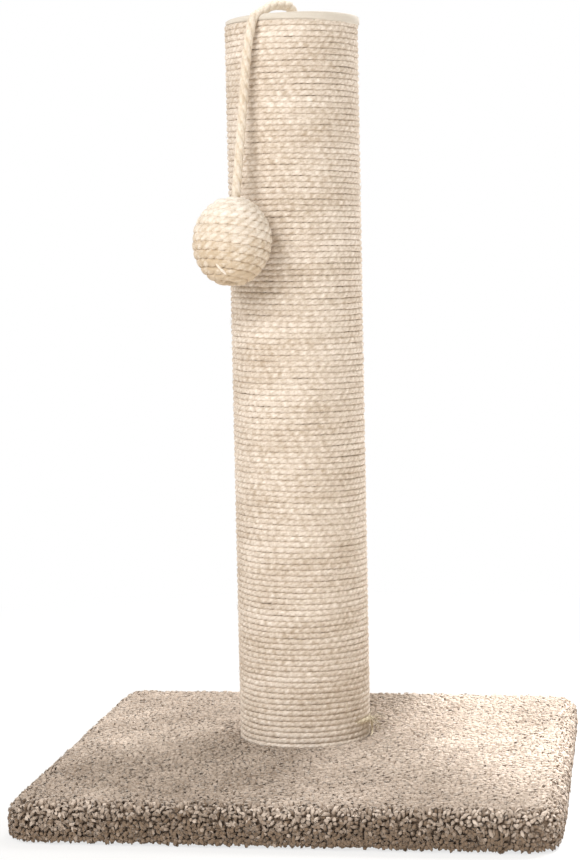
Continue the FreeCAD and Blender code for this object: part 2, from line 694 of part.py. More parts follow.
def winding_wire():
    """One unbroken rope round the ball: even turns from its top down to its bottom.

    The first end lifts off beside the hanging rope, and the last one is tucked up into the
    knot's hollow.
    """
    thick = val("ball_rope_diameter")
    across = val("ball_radius") - thick / 2
    along = val("ball_half_height") - thick / 2
    first = math.asin((rope_radius + val("moving_gap") + thick / 2) / across)
    last = math.pi - math.asin(val("ball_end_radius") / across)

    # Distance down the ball's side, to space the turns evenly.
    angles = [first + (last - first) * index / SIDE_STEPS
              for index in range(SIDE_STEPS + 1)]
    gone = [0.0]
    for a, b in zip(angles, angles[1:]):
        middle = (a + b) / 2
        gone.append(gone[-1] + (b - a) * math.hypot(across * math.cos(middle),
                                                    along * math.sin(middle)))
    quarters = int(4 * gone[-1] / val("ball_rope_pitch"))
    print("ball winding turns", quarters / 4)

    def knot_of(index):
        """The rope's place and heading after a number of quarter turns."""
        distance = gone[-1] * index / quarters
        near = min(range(SIDE_STEPS + 1), key=lambda k: abs(gone[k] - distance))
        down = angles[near]
        swing = index * QUARTER
        rate = gone[-1] / quarters / QUARTER / math.hypot(across * math.cos(down),
                                                         along * math.sin(down))
        spot = Vector(across * math.sin(down) * math.cos(swing),
                      across * math.sin(down) * math.sin(swing),
                      along * math.cos(down))
        heading = Vector(
            across * (math.cos(down) * rate * math.cos(swing)
                      - math.sin(down) * math.sin(swing)),
            across * (math.cos(down) * rate * math.sin(swing)
                      + math.sin(down) * math.cos(swing)),
            -along * math.sin(down) * rate).normalize()
        return spot, heading

    knots = [knot_of(index) for index in range(quarters + 1)]
    spot, heading = knots[0]
    lifted = Vector(heading.x * math.cos(END_LIFT), heading.y * math.cos(END_LIFT),
                    -math.sin(END_LIFT)).normalize()
    knots[0] = (spot + Vector(0, 0, LIFT_RISE * thick), lifted)
    swing = quarters * QUARTER + TUCK_TURN
    tucked = Vector(val("ball_end_radius") * TUCK_SHARE * math.cos(swing),
                    val("ball_end_radius") * TUCK_SHARE * math.sin(swing),
                    knots[-1][0].z + TUCK_RISE * thick)
    knots.append((tucked, Vector(0, 0, 1)))

    curves = [Part.LineSegment(knots[0][0] - knots[0][1] * thick, knots[0][0])]
    for (a, a_heading), (b, b_heading) in zip(knots, knots[1:]):
        curves.extend(biarc(a, a_heading, b, b_heading))
    curves.append(Part.LineSegment(knots[-1][0], knots[-1][0] + knots[-1][1] * thick))
    return Part.Wire([curve.toShape() for curve in curves])


POINT_SPACING = 1.0
ALONG_ITSELF = 2.5


def least_gap(wire, thick):
    """The least clear distance of a wound tube to itself, on points along it.

    Points that are nearer along the tube than ALONG_ITSELF diameters aren't compared.
    """
    points = wire.discretize(Distance=POINT_SPACING)
    apart = int(ALONG_ITSELF * thick / POINT_SPACING)
    nearest = min(points[i].distanceToPoint(points[j])
                  for i in range(len(points)) for j in range(i + apart, len(points)))
    return nearest - thick


ball_wire = winding_wire()
print("ball winding least gap %.2f" % least_gap(ball_wire, val("ball_rope_diameter")))
winding = feature("ball_winding",
                  tube_along("ball_winding", ball_wire, val("ball_rope_diameter")))
winding.Placement = ball_frame


# ============================================================ loose end of the sisal
# The last turn's end peels off at the right of the post, hooks down and lies on the pile.
# Its route is (degrees round the post, height above the carpet).
TAIL_ROUTE = ((325, 14), (341, 13.7), (351, 12.5), (359.5, 9), (357.5, 3.3), (347, 0))


def tail_wire():
    """The loose end's route, whose straight runs clear the post by tail_lift."""
    thick = val("sisal_diameter")
    steps = [abs(b - a) for (a, _), (b, _) in zip(TAIL_ROUTE, TAIL_ROUTE[1:])]
    clear = number(POST_RADIUS) + thick / 2 + val("tail_lift")
    radius = clear / math.cos(math.radians(max(steps) / 2))
    lowest = number(CARPET_TOP) + thick / 2 + val("tail_lift")
    points = []
    for azimuth, height in TAIL_ROUTE:
        turn = Rotation(Vector(0, 0, 1), azimuth)
        points.append(Vector(val("post_x"), val("post_y"), lowest + height)
                      + turn.multVec(Vector(radius, 0, 0)))
    return route_wire("sisal_tail", points)


feature("sisal_tail", tube_along("sisal_tail", tail_wire(), val("sisal_diameter")))


# ============================================================ checks and files
doc.recompute()
for made in doc.Objects:
    if "Invalid" in made.State or "Error" in made.State:
        raise ValueError("failed: " + made.Name)
for made in SUBPARTS:
    if made.Shape.isNull() or not made.Shape.isValid() or made.Shape.Volume <= 0:
        raise ValueError("bad shape: " + made.Label)
for made in SUBPARTS:
    made.Shape.exportStep(os.path.join("parts", made.Label + ".step"))
    print("%-22s %10.1f mm3 in %d" % (made.Label, made.Shape.Volume, len(made.Shape.Solids)))
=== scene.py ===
# %% [markdown]
# # A cat scratching post
# A carpeted board carries a cardboard tube bound with sisal rope.  A cotton rope comes out of
# the post's top, lies over the rim and carries a ball that is wound with rope.  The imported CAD
# model is loaded as a fixed frame, and every piece made here is fitted to it, in metres.

# %% Load the frame
import json
import math

import bpy
import numpy as np
from mathutils import Matrix, Vector


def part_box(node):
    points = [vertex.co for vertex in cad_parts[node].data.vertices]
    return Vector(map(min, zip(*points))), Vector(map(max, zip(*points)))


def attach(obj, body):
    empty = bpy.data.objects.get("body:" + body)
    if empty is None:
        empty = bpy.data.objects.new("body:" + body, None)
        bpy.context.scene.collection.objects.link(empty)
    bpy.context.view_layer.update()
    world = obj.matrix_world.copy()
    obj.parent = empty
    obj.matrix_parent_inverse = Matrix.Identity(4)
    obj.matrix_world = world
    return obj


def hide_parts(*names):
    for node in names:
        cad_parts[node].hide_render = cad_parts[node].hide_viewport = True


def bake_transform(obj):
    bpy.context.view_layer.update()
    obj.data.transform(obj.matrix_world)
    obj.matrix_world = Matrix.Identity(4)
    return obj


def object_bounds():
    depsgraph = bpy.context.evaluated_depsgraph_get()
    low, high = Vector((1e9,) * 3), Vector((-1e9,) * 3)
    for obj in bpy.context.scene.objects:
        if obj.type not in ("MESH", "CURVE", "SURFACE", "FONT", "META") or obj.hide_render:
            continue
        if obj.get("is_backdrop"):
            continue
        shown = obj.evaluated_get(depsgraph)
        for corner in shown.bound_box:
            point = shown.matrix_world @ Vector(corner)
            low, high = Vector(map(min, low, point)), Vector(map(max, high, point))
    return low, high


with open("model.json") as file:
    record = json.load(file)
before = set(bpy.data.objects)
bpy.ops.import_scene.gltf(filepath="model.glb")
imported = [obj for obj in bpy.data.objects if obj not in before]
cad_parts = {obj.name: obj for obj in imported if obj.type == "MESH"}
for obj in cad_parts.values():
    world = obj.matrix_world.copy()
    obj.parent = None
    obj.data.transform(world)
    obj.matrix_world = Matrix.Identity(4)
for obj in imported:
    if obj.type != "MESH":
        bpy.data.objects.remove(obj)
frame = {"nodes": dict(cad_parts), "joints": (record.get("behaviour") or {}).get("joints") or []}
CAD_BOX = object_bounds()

MM = 0.001
JOINTS = {joint["name"]: joint for joint in frame["joints"]}

# %% [markdown]
# ## The camera
# The place, the three turns and the lens come from fitting a pinhole camera to the outline of
# the base and the post.  Blender's camera looks along its own -Z with +Y up, so the matrix is
# made of the three directions: right, up and back.

# %% Camera
CAMERA_PLACE = Vector((192.5, -1296.5, 330.7)) * MM
CAMERA_YAW = math.radians(-8.97)
CAMERA_PITCH = math.radians(5.11)
CAMERA_ROLL = math.radians(-1.20)
FOCAL_PIXELS = 2202.1
LONG_SIDE_PIXELS = 860
SENSOR_WIDTH = 36

forward = Vector((math.sin(CAMERA_YAW) * math.cos(CAMERA_PITCH),
                  math.cos(CAMERA_YAW) * math.cos(CAMERA_PITCH),
                  -math.sin(CAMERA_PITCH)))
level_right = Vector((math.cos(CAMERA_YAW), -math.sin(CAMERA_YAW), 0))
level_up = level_right.cross(forward)
right = level_right * math.cos(CAMERA_ROLL) + level_up * math.sin(CAMERA_ROLL)
up = level_up * math.cos(CAMERA_ROLL) - level_right * math.sin(CAMERA_ROLL)

camera = bpy.data.objects.new("camera", bpy.data.cameras.new("camera"))
bpy.context.collection.objects.link(camera)
turned = Matrix((right, up, -forward)).transposed().to_4x4()
camera.matrix_world = Matrix.Translation(CAMERA_PLACE) @ turned
camera.data.sensor_width = SENSOR_WIDTH
camera.data.lens = SENSOR_WIDTH * FOCAL_PIXELS / LONG_SIDE_PIXELS
bpy.context.scene.camera = camera
print("camera lens: %.1f mm" % camera.data.lens)

# %% [markdown]
# ## Meshes from arrays
# Ropes and pile are thousands of small faces in a regular order, so numpy works out all their
# corners at once and Blender gets them as arrays.  Each mesh can carry a "shade", a number for
# each corner that its material reads, and a map of where a point lies along a rope and round it.

# %% Mesh helpers
def make_piece(name, corners, quads, tris=(), shade=None, rope_map=None):
    """An object with a smooth mesh made from arrays of corners, quads and triangles."""
    quads = np.asarray(quads, int).reshape(-1, 4)
    tris = np.asarray(tris, int).reshape(-1, 3)
    mesh = bpy.data.meshes.new(name)
    mesh.vertices.add(len(corners))
    mesh.vertices.foreach_set("co", np.asarray(corners, np.float32).ravel())
    mesh.loops.add(quads.size + tris.size)
    mesh.loops.foreach_set("vertex_index", np.concatenate([quads.ravel(), tris.ravel()]))
    mesh.polygons.add(len(quads) + len(tris))
    starts = np.concatenate([np.arange(len(quads)) * 4, quads.size + np.arange(len(tris)) * 3])
    mesh.polygons.foreach_set("loop_start", starts)
    mesh.polygons.foreach_set("use_smooth", np.ones(len(starts), bool))
    if shade is not None:
        mesh.attributes.new("shade", "FLOAT", "POINT").data.foreach_set(
            "value", np.asarray(shade, np.float32))
    if rope_map is not None:
        mesh.uv_layers.new(name="rope").data.foreach_set(
            "uv", np.asarray(rope_map, np.float32).ravel())
    mesh.update(calc_edges=True)
    piece = bpy.data.objects.new(name, mesh)
    bpy.context.collection.objects.link(piece)
    return piece


def ring_quads(ring_count, sides):
    """Quads that join each ring of corners to the next; a ring has so many sides."""
    ring = np.arange(ring_count - 1)[:, None] * sides
    step = np.arange(sides)[None, :]
    following = (step + 1) % sides
    return np.stack([ring + step, ring + following,
                     ring + sides + following, ring + sides + step], axis=-1).reshape(-1, 4)


def unit(vectors):
    """Vectors of length one."""
    return vectors / np.linalg.norm(vectors, axis=-1, keepdims=True)


def smooth_noise(positions, period, seed):
    """Seeded noise between about -1 and 1 that wanders once in about a period."""
    random = np.random.default_rng(seed)
    total = np.zeros(len(positions))
    for turn in random.uniform(0.4, 1.6, 6):
        total += np.sin(2 * math.pi * (positions * turn / period + random.random()))
    return total / 3

# %% [markdown]
# ## A laid rope
# Sisal and cotton rope are three strands laid round each other.  A picture of a twist on a round
# tube looks flat at its edge, so the strands are real here: the section is a clover of three
# lobes that turns as it goes along.  The corners of each ring turn with it, so every lobe keeps
# its own row of corners, and a dozen corners round are enough for a clean strand.  The strands
# turn to the left, an S lay, which draws short strokes that rise to the right on a level row.

# %% Laid rope
STRANDS = 3
ODD_WAY = (0.31, 0.22, 0.93)
ROPE_TIP = 0.2
FIBRE_SIDES = 3
FIBRE_TIP = 0.35


def arc_lengths(path):
    """How far each point of a path is from its start."""
    steps = np.linalg.norm(np.diff(path, axis=0), axis=1)
    return np.concatenate([[0.0], np.cumsum(steps)])


def even_points(path, spacing):
    """The same path with its points at one even spacing."""
    gone = arc_lengths(path)
    count = max(int(round(gone[-1] / spacing)), 2)
    places = np.linspace(0, gone[-1], count + 1)
    return np.stack([np.interp(places, gone, path[:, axis]) for axis in range(3)], axis=1)


def steady_sides(path, headings):
    """A side direction for each point that turns no more than the path itself does."""
    side = np.cross(headings[0], ODD_WAY)
    sides = [side / np.linalg.norm(side)]
    for index in range(1, len(path)):
        step = sides[-1] - headings[index] * np.dot(sides[-1], headings[index])
        sides.append(step / np.linalg.norm(step))
    return np.array(sides)


def crest_shares(corners):
    """For each corner of a section: 1 on the crest of a strand, 0 between two strands."""
    turn = np.arange(STRANDS * corners) % corners / corners * 2 * math.pi / STRANDS
    from_crest = math.pi / STRANDS - np.minimum(turn, 2 * math.pi / STRANDS - turn)
    return np.sqrt(np.maximum(np.cos(from_crest * STRANDS / 2), 0))


def laid_rope(name, path, across, lay, valley=0.8, corners=4, sides=None, start=0.0,
              thickness=None, shade=None, groove_shade=0.2, boxy=2.0):
    """A rope along a path.

    lay is the length of one full turn of a strand, and valley the least share of the radius,
    between two strands.  groove is how much darker a painted shade makes it there.  boxy is 2 for
    a round rope and more for one that its neighbours press to a squarer section.
    """
    headings = unit(np.gradient(path, axis=0))
    if sides is None:
        sides = steady_sides(path, headings)
    sides = unit(sides - headings * np.sum(sides * headings, axis=1, keepdims=True))
    others = np.cross(headings, sides)
    gone = arc_lengths(path) + start
    around = STRANDS * corners
    crest = crest_shares(corners)
    radii = across / 2 * (valley + (1 - valley) * crest)
    turn = 2 * math.pi * (np.arange(around)[None, :] / around - gone[:, None] / lay)
    if thickness is None:
        thickness = np.ones(len(path))
    pressed = (np.abs(np.cos(turn)) ** boxy + np.abs(np.sin(turn)) ** boxy) ** (-1 / boxy)
    reach = (radii[None, :] * thickness[:, None] * pressed)[..., None]
    rings = (path[:, None, :] + sides[:, None, :] * np.cos(turn)[..., None] * reach
             + others[:, None, :] * np.sin(turn)[..., None] * reach)
    corners_made = rings.reshape(-1, 3)
    quads = ring_quads(len(path), around)
    step = np.arange(around)
    low, high = gone[:-1, None], gone[1:, None]
    left, farther = step[None, :] / around, (step[None, :] + 1) / around
    flat = np.stack(np.broadcast_arrays(low, left, low, farther, high, farther, high, left),
                    axis=-1).reshape(-1, 2)
    tips = np.array([path[0] - headings[0] * across * ROPE_TIP,
                     path[-1] + headings[-1] * across * ROPE_TIP])
    first, last = len(corners_made), len(corners_made) + 1
    corners_made = np.concatenate([corners_made, tips])
    following = (step + 1) % around
    base = (len(path) - 1) * around
    tris = np.concatenate([
        np.stack([following, step, np.full(around, first)], axis=1),
        np.stack([base + step, base + following, np.full(around, last)], axis=1)])
    flat_ends = np.zeros((len(tris) * 3, 2))
    flat_ends[:, 0] = np.repeat([gone[0], gone[-1]], around * 3)
    flat = np.concatenate([flat, flat_ends])
    tone = np.zeros(len(corners_made))
    # Painted shade: the corners between two strands are painted darker, by groove, on every rope.
    tone[:len(path) * around] = np.tile(groove_shade * (crest - 1), len(path))
    if shade is not None:
        tone[:len(path) * around] += np.repeat(shade, around)
    return make_piece(name, corners_made, quads, tris, tone, flat)


def thin_fibres(name, paths, radius):
    """One mesh of many thin fibres that taper; paths holds the points of each."""
    count, length = paths.shape[:2]
    headings = unit(np.gradient(paths, axis=1))
    side = unit(np.cross(headings, ODD_WAY))
    other = np.cross(headings, side)
    turn = np.arange(FIBRE_SIDES) * 2 * math.pi / FIBRE_SIDES
    taper = np.linspace(1, FIBRE_TIP, length)[None, :, None, None] * radius
    rings = (paths[:, :, None, :]
             + (side[:, :, None, :] * np.cos(turn)[:, None]
                + other[:, :, None, :] * np.sin(turn)[:, None]) * taper)
    base = (np.arange(count) * length * FIBRE_SIDES)[:, None, None]
    quads = ring_quads(length, FIBRE_SIDES)[None] + base
    return make_piece(name, rings.reshape(-1, 3), quads.reshape(-1, 4))

# %% [markdown]
# ## Colours and nodes
# Colours are written as the sRGB values that a picker shows and turned to the linear numbers
# that Blender works in.  One small function adds a node, sets it and links it.

# %% Material helpers
def paint(code):
    """A linear colour with alpha from a hex sRGB code."""
    parts = [int(code[index:index + 2], 16) / 255 for index in (1, 3, 5)]
    return tuple(part / 12.92 if part <= 0.04045 else ((part + 0.055) / 1.055) ** 2.4
                 for part in parts) + (1.0,)


def add(tree, kind, inputs=(), **settings):
    """A new node with its settings; each input is a value or another node's socket."""
    node = tree.nodes.new(kind)
    for name, value in settings.items():
        setattr(node, name, value)
    for socket, value in dict(inputs).items():
        if isinstance(value, bpy.types.NodeSocket):
            tree.links.new(value, node.inputs[socket])
        else:
            node.inputs[socket].default_value = value
    return node


def new_material(name):
    """A material with an empty node tree."""
    material = bpy.data.materials.new(name)
    material.use_nodes = True
    material.node_tree.nodes.clear()
    return material, material.node_tree


def close_material(tree, shader):
    """Send a shader to the material's output."""
    add(tree, "ShaderNodeOutputMaterial", {"Surface": shader.outputs[0]})

# %% [markdown]
# ## Sisal, cotton and the pile
# Sisal is a hard leaf fibre, dry and matt, with fine splinters that lie almost along the rope.
# The rope's map gives the place along it and round it; noise that is long along the rope and
# short across it draws the fibres, at about 0.25 mm apart, and coarser noise the clumps in which
# they were spun and the weathered patches, about 30 mm wide.  All the ropes share that recipe
# and differ in their colours, their lay and how hairy they are.

# %% Fibre rope materials
FIBRE_WIDTH = 0.25 * MM
FIBRE_LENGTH = 6 * MM
CLUMP = 2.2 * MM
PATCH = 30 * MM
PATCH_SHARE = 0.3
DARKEST_AT = 0.76
BRIGHTEST_AT = 1.5


def fibre_rope(name, dark, light, across, lay, bump, sheen=0.15):
    """A dry twisted fibre: dark and light are the deepest and the brightest fibre."""
    material, tree = new_material(name)
    rope_map = add(tree, "ShaderNodeUVMap", uv_map="rope")
    parts = add(tree, "ShaderNodeSeparateXYZ", {0: rope_map.outputs[0]})
    along = add(tree, "ShaderNodeMath", {0: parts.outputs[0], 1: 1 / FIBRE_LENGTH},
                operation="MULTIPLY")
    turned = add(tree, "ShaderNodeMath", {0: parts.outputs[0], 1: 1 / lay}, operation="MULTIPLY")
    around = add(tree, "ShaderNodeMath", {0: parts.outputs[1], 1: turned.outputs[0]},
                 operation="SUBTRACT")
    across_fibres = add(tree, "ShaderNodeMath",
                        {0: around.outputs[0], 1: math.pi * across / FIBRE_WIDTH},
                        operation="MULTIPLY")
    place = add(tree, "ShaderNodeCombineXYZ",
                {0: along.outputs[0], 1: across_fibres.outputs[0]})
    fibres = add(tree, "ShaderNodeTexNoise",
                 {"Vector": place.outputs[0], "Scale": 1.0, "Detail": 3.0, "Roughness": 0.6})
    coords = add(tree, "ShaderNodeTexCoord")
    clumps = add(tree, "ShaderNodeTexNoise",
                 {"Vector": coords.outputs["Object"], "Scale": 1 / CLUMP, "Detail": 3.0,
                  "Roughness": 0.65})
    patches = add(tree, "ShaderNodeTexNoise",
                  {"Vector": coords.outputs["Object"], "Scale": 1 / PATCH, "Detail": 1.0})
    uneven = add(tree, "ShaderNodeMath",
                 {0: patches.outputs[0], 1: PATCH_SHARE, 2: clumps.outputs[0]},
                 operation="MULTIPLY_ADD")
    shade = add(tree, "ShaderNodeAttribute", attribute_name="shade")
    total = add(tree, "ShaderNodeMath", {0: fibres.outputs[0], 1: uneven.outputs[0]},
                operation="ADD")
    toned = add(tree, "ShaderNodeMath", {0: total.outputs[0], 1: shade.outputs["Fac"]},
                operation="ADD")
    share = add(tree, "ShaderNodeMapRange",
                {"Value": toned.outputs[0], "From Min": DARKEST_AT, "From Max": BRIGHTEST_AT})
    colour = add(tree, "ShaderNodeMix",
                 {0: share.outputs[0], 6: paint(dark), 7: paint(light)}, data_type="RGBA")
    relief = add(tree, "ShaderNodeBump",
                 {"Height": fibres.outputs[0], "Distance": bump, "Strength": 0.8})
    shader = add(tree, "ShaderNodeBsdfPrincipled",
                 {"Base Color": colour.outputs[2], "Roughness": 0.9,
                  "Normal": relief.outputs[0], "Sheen Weight": sheen, "Sheen Roughness": 0.6,
                  "Specular IOR Level": 0.3})
    close_material(tree, shader)
    return material


SISAL_LAY = 12 * MM
SISAL_ACROSS = 3.4 * MM
SISAL_RELIEF = 0.15 * MM
sisal = fibre_rope("sisal_rope_natural", "#BBA891", "#FDF4EA", SISAL_ACROSS, SISAL_LAY,
                   SISAL_RELIEF)
BALL_LAY = 15 * MM
pale_sisal = fibre_rope("sisal_rope_bleached", "#C9B59A", "#FDF6EC", 4.5 * MM, BALL_LAY,
                        SISAL_RELIEF)
COTTON_LAY = 24 * MM
COTTON_ACROSS = 5.6 * MM
cotton = fibre_rope("cotton_rope_cream", "#D0BDA3", "#FCF6EC", COTTON_ACROSS, COTTON_LAY,
                    0.08 * MM, sheen=0.3)
print("rope materials:", sisal.name, pale_sisal.name, cotton.name)

# %% [markdown]
# ## The sisal on the post
# One rope goes round the tube 129 times, each turn pressed against the next, so that only a
# shallow furrow is left between two.  It was wound by hand: the turns wander up and down
# together, and each lies a trace nearer to one neighbour, which leaves dark dashes of uneven
# length.  The wandering depends on the place on the post, so neighbours wander alike.  At both
# ends the turns lie level and step up at the back; towards the middle the step gets longer
# until each turn climbs evenly all round.  The rope stands a little past the CAD's winding at
# its foot, which sinks into the pile, and at its top, where the felt sits higher.
#
# The winding is cut into four lengths end to end, because a mesh of more than 200,000 faces is
# slow to carry.

# %% Post winding
wrap_low, wrap_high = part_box("sisal_wrap")
POST_X = (wrap_low.x + wrap_high.x) / 2
POST_Y = (wrap_low.y + wrap_high.y) / 2
POST_RADIUS = (wrap_high.x - wrap_low.x) / 2
PRESSED_ACROSS = 3.75 * MM
PRESSED_BOXY = 2.4
WINDING_VALLEY = 0.83
WINDING_GROOVE_SHADE = 0.14
FOOT_PAINTED_LIGHT = 0.16
FOOT_PAINTED_LIGHT_HEIGHT = 22 * MM
WANDER_SHARED = 0.22 * MM
WANDER_WAVES = (1, 2, 3, 5, 8)
WANDER_PHASES = 6.28
WANDER_UP = 60 * MM
WANDER_SLOW = 0.14 * MM
WANDER_FINE = 0.10 * MM
WANDER_OUT = 0.14 * MM
TONE_SLOW = 0.06
TONE_FINE = 0.10
THICKER = 0.04
FOOT_IN_PILE = 1.7 * MM
CREST_OUT = 0.4 * MM
WINDING_TURNS = 128.6
TOP_RISE = 1.0 * MM
STEP_ALONG = 1.25 * MM
WINDING_ENDS_AT = math.radians(318)
STEP_UP_AT = math.radians(90)
LEVEL_TURNS = 14
WINDING_PIECES = 4

winding_radius = POST_RADIUS + CREST_OUT - PRESSED_ACROSS / 2
lowest = wrap_low.z - FOOT_IN_PILE + PRESSED_ACROSS / 2
highest = wrap_high.z + TOP_RISE - PRESSED_ACROSS / 2
pitch = (highest - lowest) / int(WINDING_TURNS)
turn_length = 2 * math.pi * winding_radius
steps = int(WINDING_TURNS * turn_length / STEP_ALONG)
turns = np.linspace(0, WINDING_TURNS, steps + 1)
angle = WINDING_ENDS_AT - 2 * math.pi * turns
gone = turns * turn_length

from_end = np.minimum(turns, WINDING_TURNS - turns)
slope_width = 0.2 + 0.8 * np.clip(from_end / LEVEL_TURNS, 0, 1)
back = (WINDING_ENDS_AT - STEP_UP_AT) / (2 * math.pi)
within = (turns - back + 0.5) % 1.0 - 0.5
climbed = np.clip(within / slope_width + 0.5, 0, 1)
height = lowest + pitch * (np.round(turns - back) + climbed)
height = np.clip(height, lowest, highest)

shared = np.zeros(len(turns))
random = np.random.default_rng(7)
for waves in WANDER_WAVES:
    for _ in range(2):
        slow = random.uniform(-1, 1) / WANDER_UP * 2 * math.pi
        shared += np.sin(waves * angle + slow * height
                         + random.uniform(0, WANDER_PHASES)) / waves
inset = np.minimum(from_end / 3, 1)
height = height + inset * (WANDER_SHARED * shared
                           + WANDER_SLOW * smooth_noise(gone, 70 * MM, 11)
                           + WANDER_FINE * smooth_noise(gone, 14 * MM, 16))
out = winding_radius + WANDER_OUT * smooth_noise(gone, 45 * MM, 12)
outward = np.stack([np.cos(angle), np.sin(angle), np.zeros(len(angle))], axis=1)
winding_path = outward * out[:, None] + np.array([POST_X, POST_Y, 0])
winding_path[:, 2] = height
tone = (TONE_SLOW * smooth_noise(gone, 160 * MM, 13)
        + TONE_FINE * smooth_noise(gone, 7 * MM, 14))
# Painted light: the lowest turns are painted paler, and this fades within a few centimetres up
# from the foot.
tone = tone + FOOT_PAINTED_LIGHT * np.exp(-(height - lowest) / FOOT_PAINTED_LIGHT_HEIGHT)
thick = 1 + THICKER * smooth_noise(gone, 18 * MM, 15)

cuts = np.linspace(0, steps, WINDING_PIECES + 1).astype(int)
for index, (first, last) in enumerate(zip(cuts, cuts[1:])):
    part = slice(first, last + 1)
    piece = laid_rope("sisal_winding_%d" % (index + 1), winding_path[part], PRESSED_ACROSS,
                      SISAL_LAY, valley=WINDING_VALLEY, sides=outward[part], start=gone[first],
                      thickness=thick[part], shade=tone[part], boxy=PRESSED_BOXY,
                      groove_shade=WINDING_GROOVE_SHADE)
    piece.data.materials.append(sisal)
    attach(piece, "root")
    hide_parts("sisal_wrap")
print("post winding: %.1f m of rope in %d pieces" % (gone[-1], WINDING_PIECES))

# %% [markdown]
# ## Free ropes follow a spline
# A rope that lies or hangs bends in one smooth line.  The line is a NURBS spline of order three
# with given control points: it starts at the first, ends at the last and is drawn towards
# the others.  The strands follow the points that Blender reads from it.

# %% Rope lines
def spline_points(name, route, spacing=1 * MM):
    """Evenly spaced points of a NURBS spline with the route's points as control points."""
    curve = bpy.data.curves.new(name + "_line", "CURVE")
    curve.dimensions = "3D"
    spline = curve.splines.new("NURBS")
    spline.points.add(len(route) - 1)
    for point, place in zip(spline.points, route):
        point.co = (*place, 1)
    spline.order_u = 3
    spline.use_endpoint_u = True
    spline.resolution_u = 24
    line = bpy.data.objects.new(name + "_line", curve)
    mesh = bpy.data.meshes.new_from_object(line)
    points = np.array([vertex.co for vertex in mesh.vertices])
    bpy.data.meshes.remove(mesh)
    bpy.data.objects.remove(line)
    bpy.data.curves.remove(curve)
    return even_points(points, spacing)

# %% [markdown]
# ## The loose end of the sisal
# The last turn's end peels off at the right of the post, hooks down and lies on the pile.  Its
# route is written as degrees round the post, millimetres beside it and above the carpet.  From
# a third of its length the rope has come undone, and only part of its fibres go on.

# %% Loose end
carpet_low, carpet_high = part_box("base_carpet")
CARPET_TOP = carpet_high.z
TAIL_ROUTE = ((329, -1.5, 9.6), (338, -0.5, 9.6), (348, 0.9, 9.6), (359.7, 1.6, 9.6),
              (363.6, 1.5, 6.55), (363.6, 1.5, 2.25), (359.7, 1.8, -0.8), (350, 2.4, -1.0))
FRAYED_SHARE = 0.55
FRAYS_FROM = 0.3
FRAYS_WITHIN = 0.25

tail_route = []
for degrees, beside, above in TAIL_ROUTE:
    azimuth = math.radians(degrees)
    reach = POST_RADIUS + beside * MM
    tail_route.append((POST_X + reach * math.cos(azimuth), POST_Y + reach * math.sin(azimuth),
                       CARPET_TOP + SISAL_ACROSS / 2 + above * MM))
tail_path = spline_points("sisal_tail", tail_route, 0.5 * MM)
tail_share = np.linspace(0, 1, len(tail_path))
tail_thick = 1 - FRAYED_SHARE * np.clip((tail_share - FRAYS_FROM) / FRAYS_WITHIN, 0, 1)
sisal_end = laid_rope("sisal_loose_end", tail_path, SISAL_ACROSS, SISAL_LAY, corners=6,
                      thickness=tail_thick)
loose_sisal = fibre_rope("sisal_rope_frayed", "#C0B193", "#FAF2DE", SISAL_ACROSS, SISAL_LAY,
                         SISAL_RELIEF)
sisal_end.data.materials.append(loose_sisal)
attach(sisal_end, "root")
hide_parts("sisal_tail")
print("loose end: %.1f mm" % (arc_lengths(tail_path)[-1] / MM))

# %% [markdown]
# Where the rope has come undone, its hard fibres spring apart.  Each is a thin bent line that
# starts on the rope's surface near the bend and curls away in its own direction.

# %% Frayed fibres
FRAYED_FIBRES = 26
FRAYED_RADIUS = 0.28 * MM
FRAYED_STARTS = (0.2, 0.62)
random = np.random.default_rng(21)
share = np.linspace(0, 1, 9)[None, :, None]
starts = tail_path[random.integers(int(FRAYED_STARTS[0] * len(tail_path)),
                                   int(FRAYED_STARTS[1] * len(tail_path)), FRAYED_FIBRES)]
starts = starts + random.normal(0, 0.8 * MM, starts.shape)
around_post = np.arctan2(starts[:, 1] - POST_Y, starts[:, 0] - POST_X)
away = np.stack([np.cos(around_post), np.sin(around_post), np.zeros(FRAYED_FIBRES)], axis=1)
beside = np.stack([-away[:, 1], away[:, 0], np.zeros(FRAYED_FIBRES)], axis=1)
first_way = unit(away * random.uniform(0.1, 0.7, (FRAYED_FIBRES, 1))
                 + beside * random.normal(0, 1.0, (FRAYED_FIBRES, 1))
                 + np.array([0, 0, 1.0]) * random.normal(0.1, 0.6, (FRAYED_FIBRES, 1)))
bent_way = unit(first_way + away * 0.3 + random.normal(0, 0.8, (FRAYED_FIBRES, 3)))
long = random.uniform(5, 12, (FRAYED_FIBRES, 1, 1)) * MM
frayed = (starts[:, None, :] + first_way[:, None, :] * long * share
          + (bent_way - first_way)[:, None, :] * long * share ** 2 * 0.6)
frayed[..., 2] = np.maximum(frayed[..., 2], CARPET_TOP - 1 * MM)
fray = thin_fibres("sisal_frayed_fibres", frayed, FRAYED_RADIUS)
fray.data.materials.append(loose_sisal)
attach(fray, "root")
print("frayed fibres:", FRAYED_FIBRES)

# %% [markdown]
# Stray fibres also stand off the wound rope all over the post.  They run along the turns and
# lift by a millimetre or two, so they break the even rows without hiding them.

